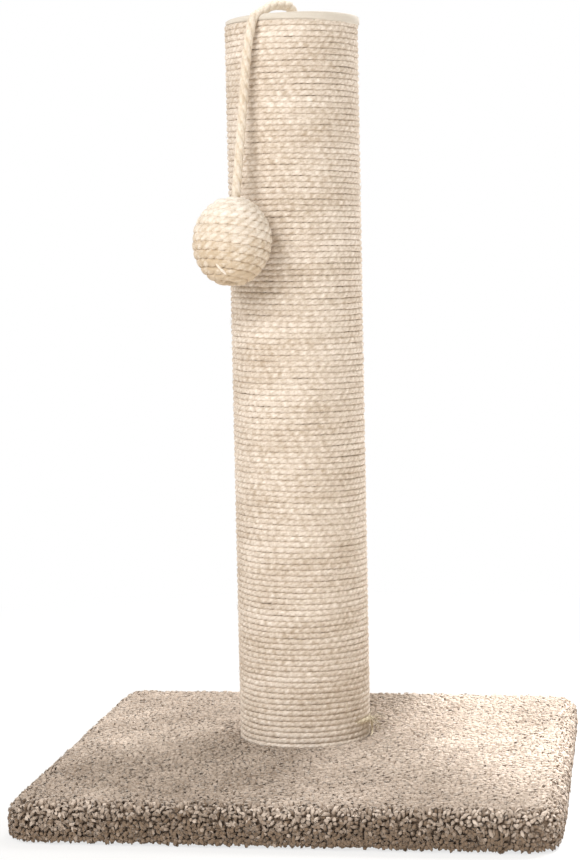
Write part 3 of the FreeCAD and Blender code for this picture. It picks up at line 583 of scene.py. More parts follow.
# %% Stray fibres
STRAY_FIBRES = 420
STRAY_RADIUS = 0.16 * MM
random = np.random.default_rng(22)
spin = random.uniform(0, 2 * math.pi, (STRAY_FIBRES, 1))
level = random.uniform(wrap_low.z + 4 * MM, wrap_high.z - 4 * MM, (STRAY_FIBRES, 1))
share = np.linspace(0, 1, 7)[None, :]
long = random.uniform(5, 15, (STRAY_FIBRES, 1)) * MM
climb = random.normal(0.05, 0.35, (STRAY_FIBRES, 1))
arch = random.normal(0, 1.2, (STRAY_FIBRES, 1)) * MM
stray_turn = spin + share * long / POST_RADIUS
stray_out = POST_RADIUS + (0.1 + random.uniform(0.2, 1.6, (STRAY_FIBRES, 1)) * share ** 2) * MM
stray_height = level + share * long * climb + arch * 4 * share * (1 - share)
stray_paths = np.stack([POST_X + np.cos(stray_turn) * stray_out,
                        POST_Y + np.sin(stray_turn) * stray_out, stray_height], axis=-1)
stray = thin_fibres("sisal_stray_fibres", stray_paths, STRAY_RADIUS)
stray.data.materials.append(sisal)
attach(stray, "root")
print("stray fibres:", STRAY_FIBRES)

# %% [markdown]
# ## The toy's rope
# A soft cotton rope comes up out of the post's middle, turns over in a tight hump, lies on the
# felt and drops over the rim.  The points are written in the toy's own upright plane: out from
# the post's axis, up from its top, and sideways out of that plane, because the rope crosses the
# rim a little to the right of where the ball hangs.  The rope is made in two meshes: the first
# over the lying stretch, the second over the rim.

# %% Toy rope
cap_low, cap_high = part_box("top_cap")
POST_TOP = cap_high.z
toy_heading = Vector(JOINTS["toy_swing_side"]["axis"])
ball_middle = Vector(JOINTS["ball_spin"]["pos_m"])
ball_up = Vector(JOINTS["ball_spin"]["axis"])
KNOT_TOP_IN_BALL = 6.0 * MM


def toy_point(out, up_from_top, sideways=0.0):
    """A point in the toy's plane, from millimetres, as a tuple in metres."""
    side = Vector((-toy_heading.y, toy_heading.x, 0))
    place = Vector((POST_X, POST_Y, POST_TOP)) + (toy_heading * out + side * sideways) * MM
    place.z += up_from_top * MM
    return tuple(place)


TOY_ROUTE = [toy_point(0, -20.5), toy_point(0, -2), toy_point(-2.4, 5.8, 0.3),
             toy_point(3, 9.6, 1.0), toy_point(12, 9.6, 1.8), toy_point(22, 8.6, 2.4),
             toy_point(31, 5.2, 2.8), toy_point(37, 2.6, 3), toy_point(42.4, 0.4, 3),
             toy_point(44.6, -6, 2.8), toy_point(45.6, -14, 1.4),
             toy_point(48.2, -34, 0.1), toy_point(50.4, -54, 0.1),
             tuple(ball_middle + ball_up * KNOT_TOP_IN_BALL)]
COTTON_LOOSER = 0.16
COTTON_TOP_PAINTED_LIGHT = 0.12
COTTON_VALLEY = 0.78
toy_path = spline_points("toy_rope", TOY_ROUTE, 1 * MM)
toy_gone = arc_lengths(toy_path)
toy_from_axis = np.hypot(toy_path[:, 0] - POST_X, toy_path[:, 1] - POST_Y)
toy_thick = 1 + COTTON_LOOSER * np.exp(-((toy_from_axis - 8 * MM) / (14 * MM)) ** 2)
# Painted light and shade: the rope is painted paler where it rises over the post's top and a
# little darker where it hangs below it.
toy_tone = COTTON_TOP_PAINTED_LIGHT * np.clip((toy_path[:, 2] - POST_TOP) / (8 * MM), -0.6, 1)
split = int(np.argmin(np.linalg.norm(toy_path - np.array(toy_point(38, 3.3, 3)), axis=1)))
over_top = toy_path[:split + 1]
over_rim = toy_path[split:]

rope_on_top = laid_rope("toy_rope_over_top", over_top, COTTON_ACROSS, COTTON_LAY,
                        valley=COTTON_VALLEY, corners=8, thickness=toy_thick[:split + 1],
                        shade=toy_tone[:split + 1])
rope_hanging = laid_rope("toy_rope_hanging", over_rim, COTTON_ACROSS, COTTON_LAY,
                         valley=COTTON_VALLEY, corners=8, start=toy_gone[split],
                         thickness=toy_thick[split:], shade=toy_tone[split:])
for piece in (rope_on_top, rope_hanging):
    piece.data.materials.append(cotton)
toy_point(28, 3.2)
toy_point(35, 3.2)
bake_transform(rope_on_top)
toy_point(40.5, 3)
toy_point(45, -4)
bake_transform(rope_hanging)
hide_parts("toy_rope_top", "toy_rope_bend")
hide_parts("toy_rope_bend", "toy_rope_drop")
toy_point(0, 0)
print("toy rope: %.0f mm, hanging part %.0f mm"
      % (toy_gone[-1] / MM, (toy_gone[-1] - toy_gone[split]) / MM))

# %% [markdown]
# ## Stopper knots
# The rope ends in a knot under the wooden plug and in another one inside the ball.  Neither
# shows, yet both hold real weight, so each is a short turn of the same rope round its own end.

# %% Knots
KNOT_TURNS = 1.35


def stopper_knot(name, node, body, axis_up):
    """A turn of cotton rope round a short rope end, in the box of its CAD node."""
    low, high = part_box(node)
    middle = np.array((low + high) / 2)
    heading = np.array(axis_up)
    side = unit(np.cross(heading, (0.2, 0.9, 0.1)))
    other = np.cross(heading, side)
    share = np.linspace(0, 1, 60)
    turn = 2 * math.pi * KNOT_TURNS * share
    reach = (4.2 - 2.2 * np.maximum(share - 0.75, 0) / 0.25) * MM
    drop = (1.0 - 3.2 * share) * MM
    path = (middle + side * (np.cos(turn) * reach)[:, None]
            + other * (np.sin(turn) * reach)[:, None] + heading * drop[:, None])
    piece = laid_rope(name, path, COTTON_ACROSS * 0.96, COTTON_LAY, valley=0.74, corners=6)
    piece.data.materials.append(cotton)
    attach(piece, body)
    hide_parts(node)


stopper_knot("knot_under_plug", "top_knot", "root", (0, 0, 1))
stopper_knot("knot_in_ball", "ball_knot", "rope_drop", tuple(ball_up))
print("two stopper knots")

# %% [markdown]
# ## The ball
# The ball is a foam core with a thicker sisal rope wound round it from its top to its bottom.
# The rope's middle follows a slightly tall ball, and its turns are evenly spaced down the ball's
# side, so the steps are worked out from the distance along that side.  The rope is drawn a tenth
# thicker than it lies, so that neighbouring turns press into each other and leave no gap.

# %% Ball winding
BALL_RADIUS = 23.2 * MM
BALL_HALF_HEIGHT = 26.4 * MM
BALL_ROPE_ACROSS = 5.3 * MM
BALL_BOXY = 3.0
BALL_PRESSED = 1.1
BALL_TOP_PAINTED_LIGHT = 0.36
BALL_DARKER_OVERALL = 0.05
BALL_TURNS = 12
BALL_STEPS = 120
BALL_VALLEY = 0.8
BALL_GROOVE_SHADE = 0.18
BALL_END_RADIUS = 5 * MM
BALL_GAP = 0.4 * MM

ball_across = BALL_RADIUS - BALL_ROPE_ACROSS / 2
ball_along = BALL_HALF_HEIGHT - BALL_ROPE_ACROSS / 2
first_down = math.asin((COTTON_ACROSS / 2 + BALL_GAP + BALL_ROPE_ACROSS / 2) / ball_across)
last_down = math.pi - math.asin(BALL_END_RADIUS / ball_across)
down = np.linspace(first_down, last_down, 2000)
side_step = np.hypot(ball_across * np.cos(down), ball_along * np.sin(down))
side_gone = np.cumsum(side_step) - side_step[0]
turns = np.linspace(0, BALL_TURNS, BALL_TURNS * BALL_STEPS)
down = np.interp(turns / BALL_TURNS, side_gone / side_gone[-1], down)
swing = 2 * math.pi * turns
wander = smooth_noise(turns, 0.7, 31)
down = down + 0.008 * wander * np.minimum(np.minimum(turns, BALL_TURNS - turns), 1)
swell = 1 + 0.006 * smooth_noise(turns, 0.5, 32)

toy_out = Vector((toy_heading.x, toy_heading.y, 0))
ball_side = np.array(ball_up.cross(toy_out).cross(ball_up).normalized())
ball_other = np.array(ball_up.cross(Vector(ball_side)))
ball_axis = np.array(ball_up)
flat_out = np.cos(swing)[:, None] * ball_side + np.sin(swing)[:, None] * ball_other
ball_path = (np.array(ball_middle) + flat_out * (ball_across * np.sin(down) * swell)[:, None]
             + ball_axis * (ball_along * np.cos(down))[:, None])
ball_outward = unit(flat_out * (np.sin(down) / ball_across)[:, None]
                    + ball_axis * (np.cos(down) / ball_along)[:, None])
ball_gone = arc_lengths(ball_path)
# Painted light and shade: the turns are painted paler towards the ball's top and darker towards
# its bottom; the whole ball is also set a little darker.
ball_tone = (0.06 * smooth_noise(ball_gone, 60 * MM, 33)
             + 0.1 * smooth_noise(ball_gone, 9 * MM, 34) + BALL_TOP_PAINTED_LIGHT * np.cos(down)
             - BALL_DARKER_OVERALL)
ball_thick = 1 + 0.04 * smooth_noise(ball_gone, 30 * MM, 35)
ball_rope = laid_rope("ball_rope_winding", ball_path, BALL_ROPE_ACROSS * BALL_PRESSED,
                      BALL_LAY, valley=BALL_VALLEY, corners=7, sides=ball_outward,
                      shade=ball_tone, thickness=ball_thick, boxy=BALL_BOXY,
                      groove_shade=BALL_GROOVE_SHADE)
ball_rope.data.materials.append(pale_sisal)
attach(ball_rope, "ball")
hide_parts("ball_winding")
print("ball winding: %.2f m" % ball_gone[-1])

# %% [markdown]
# A short loose strand lies across the turns low on the ball's front.

# %% Ball strand
STRAND_DOWN = (2.22, 2.5)
STRAND_SWING = (0.2, 0.52)
STRAND_ACROSS = 1.7 * MM
STRAND_LAY = 9 * MM
STRAND_PALER = 0.1
STRAND_SUNK = 0.02
STRAND_ARCH = 0.03
share = np.linspace(0, 1, 15)
strand_down = STRAND_DOWN[0] + (STRAND_DOWN[1] - STRAND_DOWN[0]) * share
strand_swing = STRAND_SWING[0] + (STRAND_SWING[1] - STRAND_SWING[0]) * share
strand_lift = 1.0 + STRAND_ARCH * np.sin(math.pi * share) - STRAND_SUNK
strand_flat = (np.cos(strand_swing)[:, None] * ball_side
               + np.sin(strand_swing)[:, None] * ball_other)
strand_path = (np.array(ball_middle)
               + strand_flat * (BALL_RADIUS * strand_lift * np.sin(strand_down))[:, None]
               + ball_axis * (BALL_HALF_HEIGHT * strand_lift * np.cos(strand_down))[:, None])
ball_strand = laid_rope("ball_rope_strand", strand_path, STRAND_ACROSS, STRAND_LAY,
                        shade=np.full(len(share), STRAND_PALER))
ball_strand.data.materials.append(pale_sisal)
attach(ball_strand, "ball")
print("ball strand: %.0f mm" % (arc_lengths(strand_path)[-1] / MM))

# %% [markdown]
# ## The felt on the post's top
# A disc of pressed wool felt hides the tube's end.  Felt is cut with shears, so its rim is a
# little uneven and stands up softly, and the rope has pressed a shallow track into it.

# %% Felt cap
FELT_LEAST_SHARE = 0.2


def felt_material():
    """Pressed cream wool felt: matt, with fine tangled fibres."""
    material, tree = new_material("wool_felt_cream")
    coords = add(tree, "ShaderNodeTexCoord")
    tone_field = add(tree, "ShaderNodeTexNoise",
              {"Vector": coords.outputs["Object"], "Scale": 1 / (0.8 * MM), "Detail": 4.0})
    blots = add(tree, "ShaderNodeTexNoise",
                {"Vector": coords.outputs["Object"], "Scale": 1 / (9 * MM), "Detail": 2.0})
    total = add(tree, "ShaderNodeMath", {0: tone_field.outputs[0], 1: blots.outputs[0]},
                operation="MULTIPLY_ADD")
    total.inputs[2].default_value = FELT_LEAST_SHARE
    colour = add(tree, "ShaderNodeMix", {0: total.outputs[0], 6: paint("#CFC7BA"),
                                         7: paint("#E4DED4")}, data_type="RGBA")
    relief = add(tree, "ShaderNodeBump", {"Height": tone_field.outputs[0], "Distance": 0.2 * MM,
                                          "Strength": 0.7})
    shader = add(tree, "ShaderNodeBsdfPrincipled",
                 {"Base Color": colour.outputs[2], "Roughness": 0.95, "Sheen Weight": 0.4,
                  "Sheen Roughness": 0.5, "Normal": relief.outputs[0],
                  "Specular IOR Level": 0.2})
    close_material(tree, shader)
    return material


FELT_ROUND = 0.8 * MM
FELT_HOLE = 3.1 * MM
FELT_SIDES = 180
around = np.linspace(0, 2 * math.pi, FELT_SIDES, endpoint=False)
felt_radius = (cap_high.x - cap_low.x) / 2
rim_wobble = (0.25 * np.sin(3 * around + 1) + 0.2 * np.sin(7 * around + 2)
              + 0.12 * np.sin(17 * around)) * MM - 0.25 * MM
FELT_SWELL = 1.8 * MM
FELT_SWELL_SIDE = 1.5 * MM
FELT_SWELL_AT = math.radians(320)
FELT_DROOP = 3.4 * MM
FELT_DROOP_AT = math.radians(352)
FELT_TRACK_WIDTH = 3.4 * MM
FELT_TRACK_DEPTH = 3.4 * MM
FELT_TRACK_SIDEWAYS = 2.6 * MM
FELT_TRACK_FROM = 27 * MM
FELT_TRACK_WITHIN = 9 * MM
FELT_DROOP_OUT = 1.1 * MM
FELT_RIPPLE = 0.12 * MM
swell = FELT_SWELL + FELT_SWELL_SIDE * np.cos(around - FELT_SWELL_AT)
droop = np.exp(3 * (np.cos(around - FELT_DROOP_AT) - 1))
profile = [(FELT_HOLE, cap_low.z, 0)]
profile += [(radius, cap_low.z, 0) for radius in (12 * MM, 25 * MM, felt_radius - FELT_ROUND)]
profile += [(felt_radius, cap_low.z + FELT_ROUND, 1), (felt_radius, cap_high.z - FELT_ROUND, 1)]
profile += [(felt_radius - 0.3 * FELT_ROUND, cap_high.z - 0.3 * FELT_ROUND, 1)]
profile += [(felt_radius - FELT_ROUND - depth, cap_high.z, 0.5 / (1 + depth / MM))
            for depth in np.linspace(0, felt_radius - FELT_ROUND - FELT_HOLE, 16)]
rings = []
track_heading = np.array(toy_heading)[:2]
track_side = np.array([-track_heading[1], track_heading[0]])
for radius, z, loose in profile:
    outer = np.clip((radius / felt_radius - 0.9) / 0.1, 0, 1)
    reach = radius + rim_wobble * loose + FELT_DROOP_OUT * droop * outer
    flat = np.stack([np.cos(around) * reach, np.sin(around) * reach], axis=1)
    along = flat @ track_heading
    beside = flat @ track_side - FELT_TRACK_SIDEWAYS * np.clip(along / (34 * MM), 0, 1)
    track = (np.exp(-(beside / FELT_TRACK_WIDTH) ** 4)
             * np.clip((along - FELT_TRACK_FROM) / FELT_TRACK_WITHIN, 0, 1))
    upper = (z - cap_low.z) / (cap_high.z - cap_low.z)
    lift = (z + TOP_RISE * (1 - upper) + upper * swell * (0.55 + 0.45 * outer)
            - upper * FELT_TRACK_DEPTH * track)
    lift = lift - FELT_DROOP * droop * outer ** 3 * (1 - 0.75 * upper)
    lift = lift + FELT_RIPPLE * np.sin(5 * around) * loose
    rings.append(np.column_stack([flat + [POST_X, POST_Y], lift]))
rings.append(rings[0])
corners = np.concatenate(rings)
felt_cap = make_piece("felt_cap", corners, ring_quads(len(rings), FELT_SIDES))
felt_cap.data.materials.append(felt_material())
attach(felt_cap, "root")
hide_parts("top_cap")
print("felt cap: %.1f mm across" % (2 * felt_radius / MM))

# %% [markdown]
# ## The carpet
# The carpet is a twisted pile, cut so short that each tuft stands as a soft curl.  Under it is
# the backing, which goes over the board, round its edge and in under it.  The backing is one
# outline swept round the base; the tufts are short bent blobs of yarn that stand on it.

# %% Carpet backing
BASE_HALF_X = (carpet_high.x - carpet_low.x) / 2
BASE_HALF_Y = (carpet_high.y - carpet_low.y) / 2
BASE_X = (carpet_high.x + carpet_low.x) / 2
BASE_Y = (carpet_high.y + carpet_low.y) / 2
CORNER_RADIUS = 16 * MM
TOP_ROUND = 9 * MM
BOTTOM_ROUND = 5.5 * MM
PILE_DEPTH = 3 * MM
PILE_RISE = 2.0 * MM
PILE_TOP = CARPET_TOP + PILE_RISE
UNDER_WIDTH = 31 * MM
BOARD_TOP = 15 * MM
UNDER_BOARD = 3 * MM
BOARD_INSET = 6 * MM
TURNED_UNDER = 0.1
ROUND_STEPS = 6


def loop_points(inset, count):
    """Points and outward directions round the base, a given distance in from its side."""
    radius = max(CORNER_RADIUS - inset, 1 * MM)
    half_x = BASE_HALF_X - inset - radius
    half_y = BASE_HALF_Y - inset - radius
    corner = radius * math.pi / 2
    sides = [2 * half_y, corner, 2 * half_x, corner, 2 * half_y, corner, 2 * half_x, corner]
    ends = np.cumsum(sides)
    places = (np.arange(count) + 0.5) / count * ends[-1]
    points, outward = np.zeros((count, 2)), np.zeros((count, 2))
    for index, place in enumerate(places):
        part = int(np.searchsorted(ends, place))
        within = place - (ends[part] - sides[part])
        quarter = part // 2
        turn = quarter * math.pi / 2
        centre_x, centre_y = ((half_x, half_y), (-half_x, half_y),
                              (-half_x, -half_y), (half_x, -half_y))[quarter]
        if part % 2 == 0:
            normal = (math.cos(turn), math.sin(turn))
            back = sides[part] - within
            points[index] = (centre_x + normal[0] * radius + normal[1] * back,
                             centre_y + normal[1] * radius - normal[0] * back)
        else:
            swing = turn + within / radius
            normal = (math.cos(swing), math.sin(swing))
            points[index] = (centre_x + normal[0] * radius, centre_y + normal[1] * radius)
        outward[index] = normal
    return points + (BASE_X, BASE_Y), outward


def edge_profile(depth):
    """(inset, height, lean outward) down the carpet's edge, at a depth under its surface."""
    spots = []
    top_radius = TOP_ROUND - depth
    bottom_radius = BOTTOM_ROUND - depth
    for turn in np.linspace(0, math.pi / 2, ROUND_STEPS):
        spots.append((TOP_ROUND - top_radius * math.sin(turn),
                      PILE_TOP - TOP_ROUND + top_radius * math.cos(turn), turn))
    for turn in np.linspace(0, math.pi / 2, ROUND_STEPS):
        spots.append((BOTTOM_ROUND - bottom_radius * math.cos(turn),
                      BOTTOM_ROUND - bottom_radius * math.sin(turn),
                      math.pi / 2 + turn * TURNED_UNDER))
    return spots


BACKING_SIDES = 240
UNDERSIDE = 1.2 * MM
TO_MIDDLE = 2 * MM
backing_profile = [(BASE_HALF_X - TO_MIDDLE, CARPET_TOP - PILE_DEPTH),
                   (90 * MM, CARPET_TOP - PILE_DEPTH), (60 * MM, PILE_TOP - PILE_DEPTH),
                   (40 * MM, PILE_TOP - PILE_DEPTH), (16 * MM, PILE_TOP - PILE_DEPTH)]
backing_profile += [(inset, z) for inset, z, _ in edge_profile(PILE_DEPTH)]
backing_profile += [(12 * MM, UNDERSIDE), (UNDER_WIDTH - 1 * MM, UNDERSIDE),
                    (UNDER_WIDTH, 1.9 * MM), (UNDER_WIDTH - 0.5 * MM, UNDER_BOARD),
                    (BOARD_INSET, UNDER_BOARD), (BOARD_INSET, BOARD_TOP),
                    (BASE_HALF_X - TO_MIDDLE, BOARD_TOP)]
backing_profile.append(backing_profile[0])
rings = []
for inset, z in backing_profile:
    flat, _ = loop_points(inset, BACKING_SIDES)
    rings.append(np.column_stack([flat, np.full(BACKING_SIDES, z)]))
corners = np.concatenate(rings)
INWARD = [0, 3, 2, 1]
quads = ring_quads(len(rings), BACKING_SIDES)[:, INWARD]
backing = make_piece("carpet_backing", corners, quads)
print("carpet backing: %d faces" % len(quads))

# %% [markdown]
# Each tuft is a tube of three rings of five corners and a tip.  It leans its own way, and its
# tip bends further, so that neighbours lie over each other as curls do.  Some tufts are darker at
# random, and all are painted darker at the foot, a painted shade deep in the pile.  A painted
# light and shade make the pile paler towards the back and the sides and darker at the front.
# Round the edge the tufts are thinner and closer, and the lowest rows, which the base presses on
# the floor, are the closest and the straightest.  The edge tufts are painted darker, most of all
# near the floor: a painted shade on the carpet's sides.

# %% Tufts
TUFT_SPACING = 2.3 * MM
TUFT_LENGTH = 4.9 * MM
TUFT_SIDES = 5
TUFT_RINGS = ((-0.1, 0.0, 0.85), (0.45, 0.12, 1.1), (0.8, 0.55, 1.15))
TUFT_TIP = (0.9, 1.15)
FOOT_ROOM = 1.6 * MM
PRESSED_WIDTH = 14 * MM
FLOOR_ROOM = 0.2 * MM
SOFT_CORNER_FROM = 1.62
SOFT_CORNER_PULL = 26 * MM
PILE_PAINTED_LIGHT = 0.12
LEVEL_PAINTED_SHADES = (-0.2, -0.03, 0.1)
TIP_SHADE = 0.15
TUFT_TURN = 0.5
EDGE_LENGTH = 4.2 * MM
EDGE_RADIUS = 0.9 * MM
EDGE_CLOSER = 1.15
FLOOR_CLOSER = 2.2
FLOOR_EVENER = 0.3
EDGE_PAINTED_SHADE = 0.32
FLOOR_PAINTED_SHADE = 0.6
FLOOR_PAINTED_SHADE_BELOW = 15 * MM


def tufts(name, places, normals, seed, length=TUFT_LENGTH, lean=0.8, darker=0.0,
          contrast=0.08, fat=1.15 * MM, depth=0.7):
    """One mesh of many tufts that stand on places, along their normals.

    lean is how far they lean over, contrast how much their shades differ, fat their radius and
    depth how much the shade changes from a tuft's foot to its tip.
    """
    random = np.random.default_rng(seed)
    count = len(places)
    swing = random.uniform(0, 2 * math.pi, count)
    helper = np.where(np.abs(normals[:, 2:3]) > 0.9, [[1.0, 0, 0]], [[0, 0, 1.0]])
    side = unit(np.cross(normals, helper))
    other = np.cross(normals, side)
    lean_to = side * np.cos(swing)[:, None] + other * np.sin(swing)[:, None]
    lean_by = random.uniform(0.25, 1.0, count) * lean
    tall = length * random.uniform(0.88, 1.08, count)
    fat = fat * random.uniform(0.8, 1.2, count)
    corner_turn = np.arange(TUFT_SIDES) * 2 * math.pi / TUFT_SIDES
    corners = np.zeros((count, TUFT_SIDES * len(TUFT_RINGS) + 1, 3))
    for level, (along, bend, width) in enumerate(TUFT_RINGS):
        middle = (places + normals * (tall * along)[:, None]
                  + lean_to * (tall * bend * lean_by)[:, None])
        spin = corner_turn[None, :] + level * TUFT_TURN + swing[:, None]
        reach = (fat * width)[:, None] * random.uniform(0.8, 1.2, (count, TUFT_SIDES))
        corners[:, level * TUFT_SIDES:(level + 1) * TUFT_SIDES] = (
            middle[:, None, :] + side[:, None, :] * (np.cos(spin) * reach)[..., None]
            + other[:, None, :] * (np.sin(spin) * reach)[..., None])
    corners[:, -1] = (places + normals * (tall * TUFT_TIP[0] * (1 - 0.25 * lean_by))[:, None]
                      + lean_to * (tall * TUFT_TIP[1] * lean_by)[:, None])
    step = np.arange(TUFT_SIDES)
    following = (step + 1) % TUFT_SIDES
    quads = ring_quads(len(TUFT_RINGS), TUFT_SIDES)
    top = (len(TUFT_RINGS) - 1) * TUFT_SIDES
    tris = np.stack([top + step, top + following, np.full(TUFT_SIDES, top + TUFT_SIDES)], axis=1)
    offset = np.arange(count)[:, None, None] * corners.shape[1]
    # Painted shade deep in the pile: each tuft is painted darkest at its foot and palest at its
    # tip.
    level_painted_shade = np.append(np.repeat(LEVEL_PAINTED_SHADES, TUFT_SIDES), TIP_SHADE)
    # Painted light and shade by place: the pile is painted paler towards the back and the sides
    # and darker at the front middle.
    tone_field = PILE_PAINTED_LIGHT * (0.8 * places[:, 1] / BASE_HALF_Y
                 + 1.4 * np.abs(places[:, 0]) / BASE_HALF_X - 0.6)
    shade = ((random.normal(0, contrast, count) + tone_field - darker)[:, None]
             + depth * level_painted_shade[None, :])
    corners[..., 2] = np.maximum(corners[..., 2], FLOOR_ROOM)
    return make_piece(name, corners.reshape(-1, 3), (quads[None] + offset).reshape(-1, 4),
                      (tris[None] + offset).reshape(-1, 3), shade.ravel())


def soften_corner(flat):
    """The same places, with the pile at the front right corner worn and drawn in a little."""
    over = ((flat[:, 0] - BASE_X) / BASE_HALF_X - (flat[:, 1] - BASE_Y) / BASE_HALF_Y
            - SOFT_CORNER_FROM)
    pull = SOFT_CORNER_PULL * np.maximum(over, 0) ** 2
    return flat - pull[:, None] * np.array([1.0, -1.0]) / math.sqrt(2)


def top_places():
    """Tuft places over the flat of the carpet, in staggered rows, clear of the post."""
    random = np.random.default_rng(3)
    row_step = TUFT_SPACING * math.sqrt(3) / 2
    half_x, half_y = BASE_HALF_X - TOP_ROUND, BASE_HALF_Y - TOP_ROUND
    rows = np.arange(-half_y, half_y, row_step)
    columns = np.arange(-half_x, half_x, TUFT_SPACING)
    x, y = np.meshgrid(columns, rows)
    x = x + (np.arange(len(rows)) % 2)[:, None] * TUFT_SPACING / 2
    flat = np.column_stack([x.ravel(), y.ravel()]) + random.normal(0, 0.28 * MM, (x.size, 2))
    corner = CORNER_RADIUS - TOP_ROUND
    over = np.maximum(np.abs(flat) - (half_x - corner, half_y - corner), 0)
    inside = np.hypot(over[:, 0], over[:, 1]) < corner
    flat = soften_corner(flat[inside] + (BASE_X, BASE_Y))
    from_post = np.hypot(flat[:, 0] - POST_X, flat[:, 1] - POST_Y)
    clear = from_post > POST_RADIUS + FOOT_ROOM
    flat, from_post = flat[clear], from_post[clear]
    free = np.clip((from_post - POST_RADIUS) / PRESSED_WIDTH, 0, 1)
    foot = CARPET_TOP - PILE_DEPTH + PILE_RISE * free - 0.8 * MM * (1 - free)
    return np.column_stack([flat, foot])


def edge_places():
    """Tuft places and normals round the edge, row by row down to the floor."""
    random = np.random.default_rng(4)
    spots, normals = [], []
    profile = edge_profile(PILE_DEPTH)
    line = np.array([(inset, z) for inset, z, _ in profile])
    turn = np.array([lean for _, _, lean in profile])
    gone = np.concatenate([[0], np.cumsum(np.hypot(*np.diff(line, axis=0).T))])
    rows = max(int(gone[-1] / (TUFT_SPACING * 0.72)), 1)
    for row in range(rows):
        place = (row + 0.5) / rows * gone[-1]
        inset = np.interp(place, gone, line[:, 0])
        z = np.interp(place, gone, line[:, 1])
        lean = np.interp(place, gone, turn)
        on_side = z > BOTTOM_ROUND
        closer = EDGE_CLOSER if on_side else FLOOR_CLOSER
        uneven = 1 if on_side else FLOOR_EVENER
        count = int(2 * (BASE_HALF_X + BASE_HALF_Y - 2 * inset) * 2 * closer / TUFT_SPACING)
        flat, outward = loop_points(inset, count)
        flat = soften_corner(flat)
        jitter = random.normal(0, 0.25 * MM * uneven, (count, 2))
        spots.append(np.column_stack([flat + jitter,
                                      z + random.normal(0, 0.3 * MM * uneven, count)]))
        normals.append(np.column_stack([outward * math.sin(lean),
                                        np.full(count, math.cos(lean))]))
    return np.concatenate(spots), np.concatenate(normals)


flat_places = top_places()
edge_spots, edge_normals = edge_places()
carpet_pieces = [backing]
for index, part in enumerate(np.array_split(flat_places, 3)):
    carpet_pieces.append(tufts("carpet_tufts_top_%d" % (index + 1), part,
                               np.tile([[0, 0, 1.0]], (len(part), 1)), 40 + index))
# Painted shade on the carpet's sides: the edge tufts are painted darker, more so towards the
# floor and where they face sideways.
edge_painted_shade = EDGE_PAINTED_SHADE + FLOOR_PAINTED_SHADE * np.clip(1 - edge_spots[:, 2] / FLOOR_PAINTED_SHADE_BELOW,
                                                  0, 1)
edge_painted_shade = edge_painted_shade * np.clip(edge_normals[:, 2] * -1.6 + 1.6, 0.1, 1)
for index, part in enumerate(np.array_split(np.arange(len(edge_spots)), 2)):
    carpet_pieces.append(tufts("carpet_tufts_edge_%d" % (index + 1), edge_spots[part],
                               edge_normals[part], 50 + index, length=EDGE_LENGTH,
                               darker=edge_painted_shade[part], contrast=0.2,
                               lean=np.clip(edge_spots[part, 2] / BOTTOM_ROUND, 0.15, 1),
                               fat=EDGE_RADIUS, depth=1.4))
print("tufts: %d on top, %d round the edge" % (len(flat_places), len(edge_spots)))

# %% [markdown]
# Polyester carpet yarn is matt with a soft glow where light grazes it, which sheen gives.  Deep
# between the tufts it goes dark, so the shade of each corner follows its height in the pile.

# %% Carpet materials
def pile_material():
    """Taupe polyester yarn, cut pile."""
    material, tree = new_material("polyester_pile_taupe")
    shade = add(tree, "ShaderNodeAttribute", attribute_name="shade")
    coords = add(tree, "ShaderNodeTexCoord")
    yarn = add(tree, "ShaderNodeTexNoise",
               {"Vector": coords.outputs["Object"], "Scale": 1 / (0.5 * MM), "Detail": 2.0})
    tone_field = add(tree, "ShaderNodeTexNoise",
              {"Vector": coords.outputs["Object"], "Scale": 1 / (45 * MM), "Detail": 3.0})
    tuft_share = add(tree, "ShaderNodeMath", {0: shade.outputs["Fac"], 1: tone_field.outputs[0]},
                     operation="ADD")
    total = add(tree, "ShaderNodeMath", {0: yarn.outputs[0], 1: 0.35, 2: tuft_share.outputs[0]},
                operation="MULTIPLY_ADD")
    share = add(tree, "ShaderNodeMapRange",
                {"Value": total.outputs[0], "From Min": 0.2, "From Max": 1.2})
    colour = add(tree, "ShaderNodeMix", {0: share.outputs[0], 6: paint("#84715F"),
                                         7: paint("#EADBCD")}, data_type="RGBA")
    relief = add(tree, "ShaderNodeBump", {"Height": yarn.outputs[0], "Distance": 0.15 * MM,
                                          "Strength": 0.6})
    shader = add(tree, "ShaderNodeBsdfPrincipled",
                 {"Base Color": colour.outputs[2], "Roughness": 0.95, "Sheen Weight": 0.25,
                  "Sheen Roughness": 0.5, "Normal": relief.outputs[0],
                  "Specular IOR Level": 0.2})
    close_material(tree, shader)
    return material


def backing_material():
    """The carpet's woven backing and the pile that the base presses flat."""
    material, tree = new_material("carpet_backing_taupe")
    coords = add(tree, "ShaderNodeTexCoord")
    fluff = add(tree, "ShaderNodeTexNoise",
                {"Vector": coords.outputs["Object"], "Scale": 1 / (2 * MM), "Detail": 4.0})
    colour = add(tree, "ShaderNodeMix", {0: fluff.outputs[0], 6: paint("#5E5146"),
                                         7: paint("#9A8776")}, data_type="RGBA")
    relief = add(tree, "ShaderNodeBump", {"Height": fluff.outputs[0], "Distance": 0.8 * MM,
                                          "Strength": 0.8})
    shader = add(tree, "ShaderNodeBsdfPrincipled",
                 {"Base Color": colour.outputs[2], "Roughness": 0.95,
                  "Normal": relief.outputs[0], "Specular IOR Level": 0.2})
    close_material(tree, shader)
    return material


backing.data.materials.append(backing_material())
pile = pile_material()
for piece in carpet_pieces:
    if piece is not backing:
        piece.data.materials.append(pile)
    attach(piece, "root")
    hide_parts("base_carpet")
print("carpet pieces:", len(carpet_pieces))

# %% [markdown]
# ## Board, wood, cardboard and steel
# These pieces keep their CAD shapes.  Most are seen only from below or when the post is taken
# apart, and each still gets the finish of what it is.

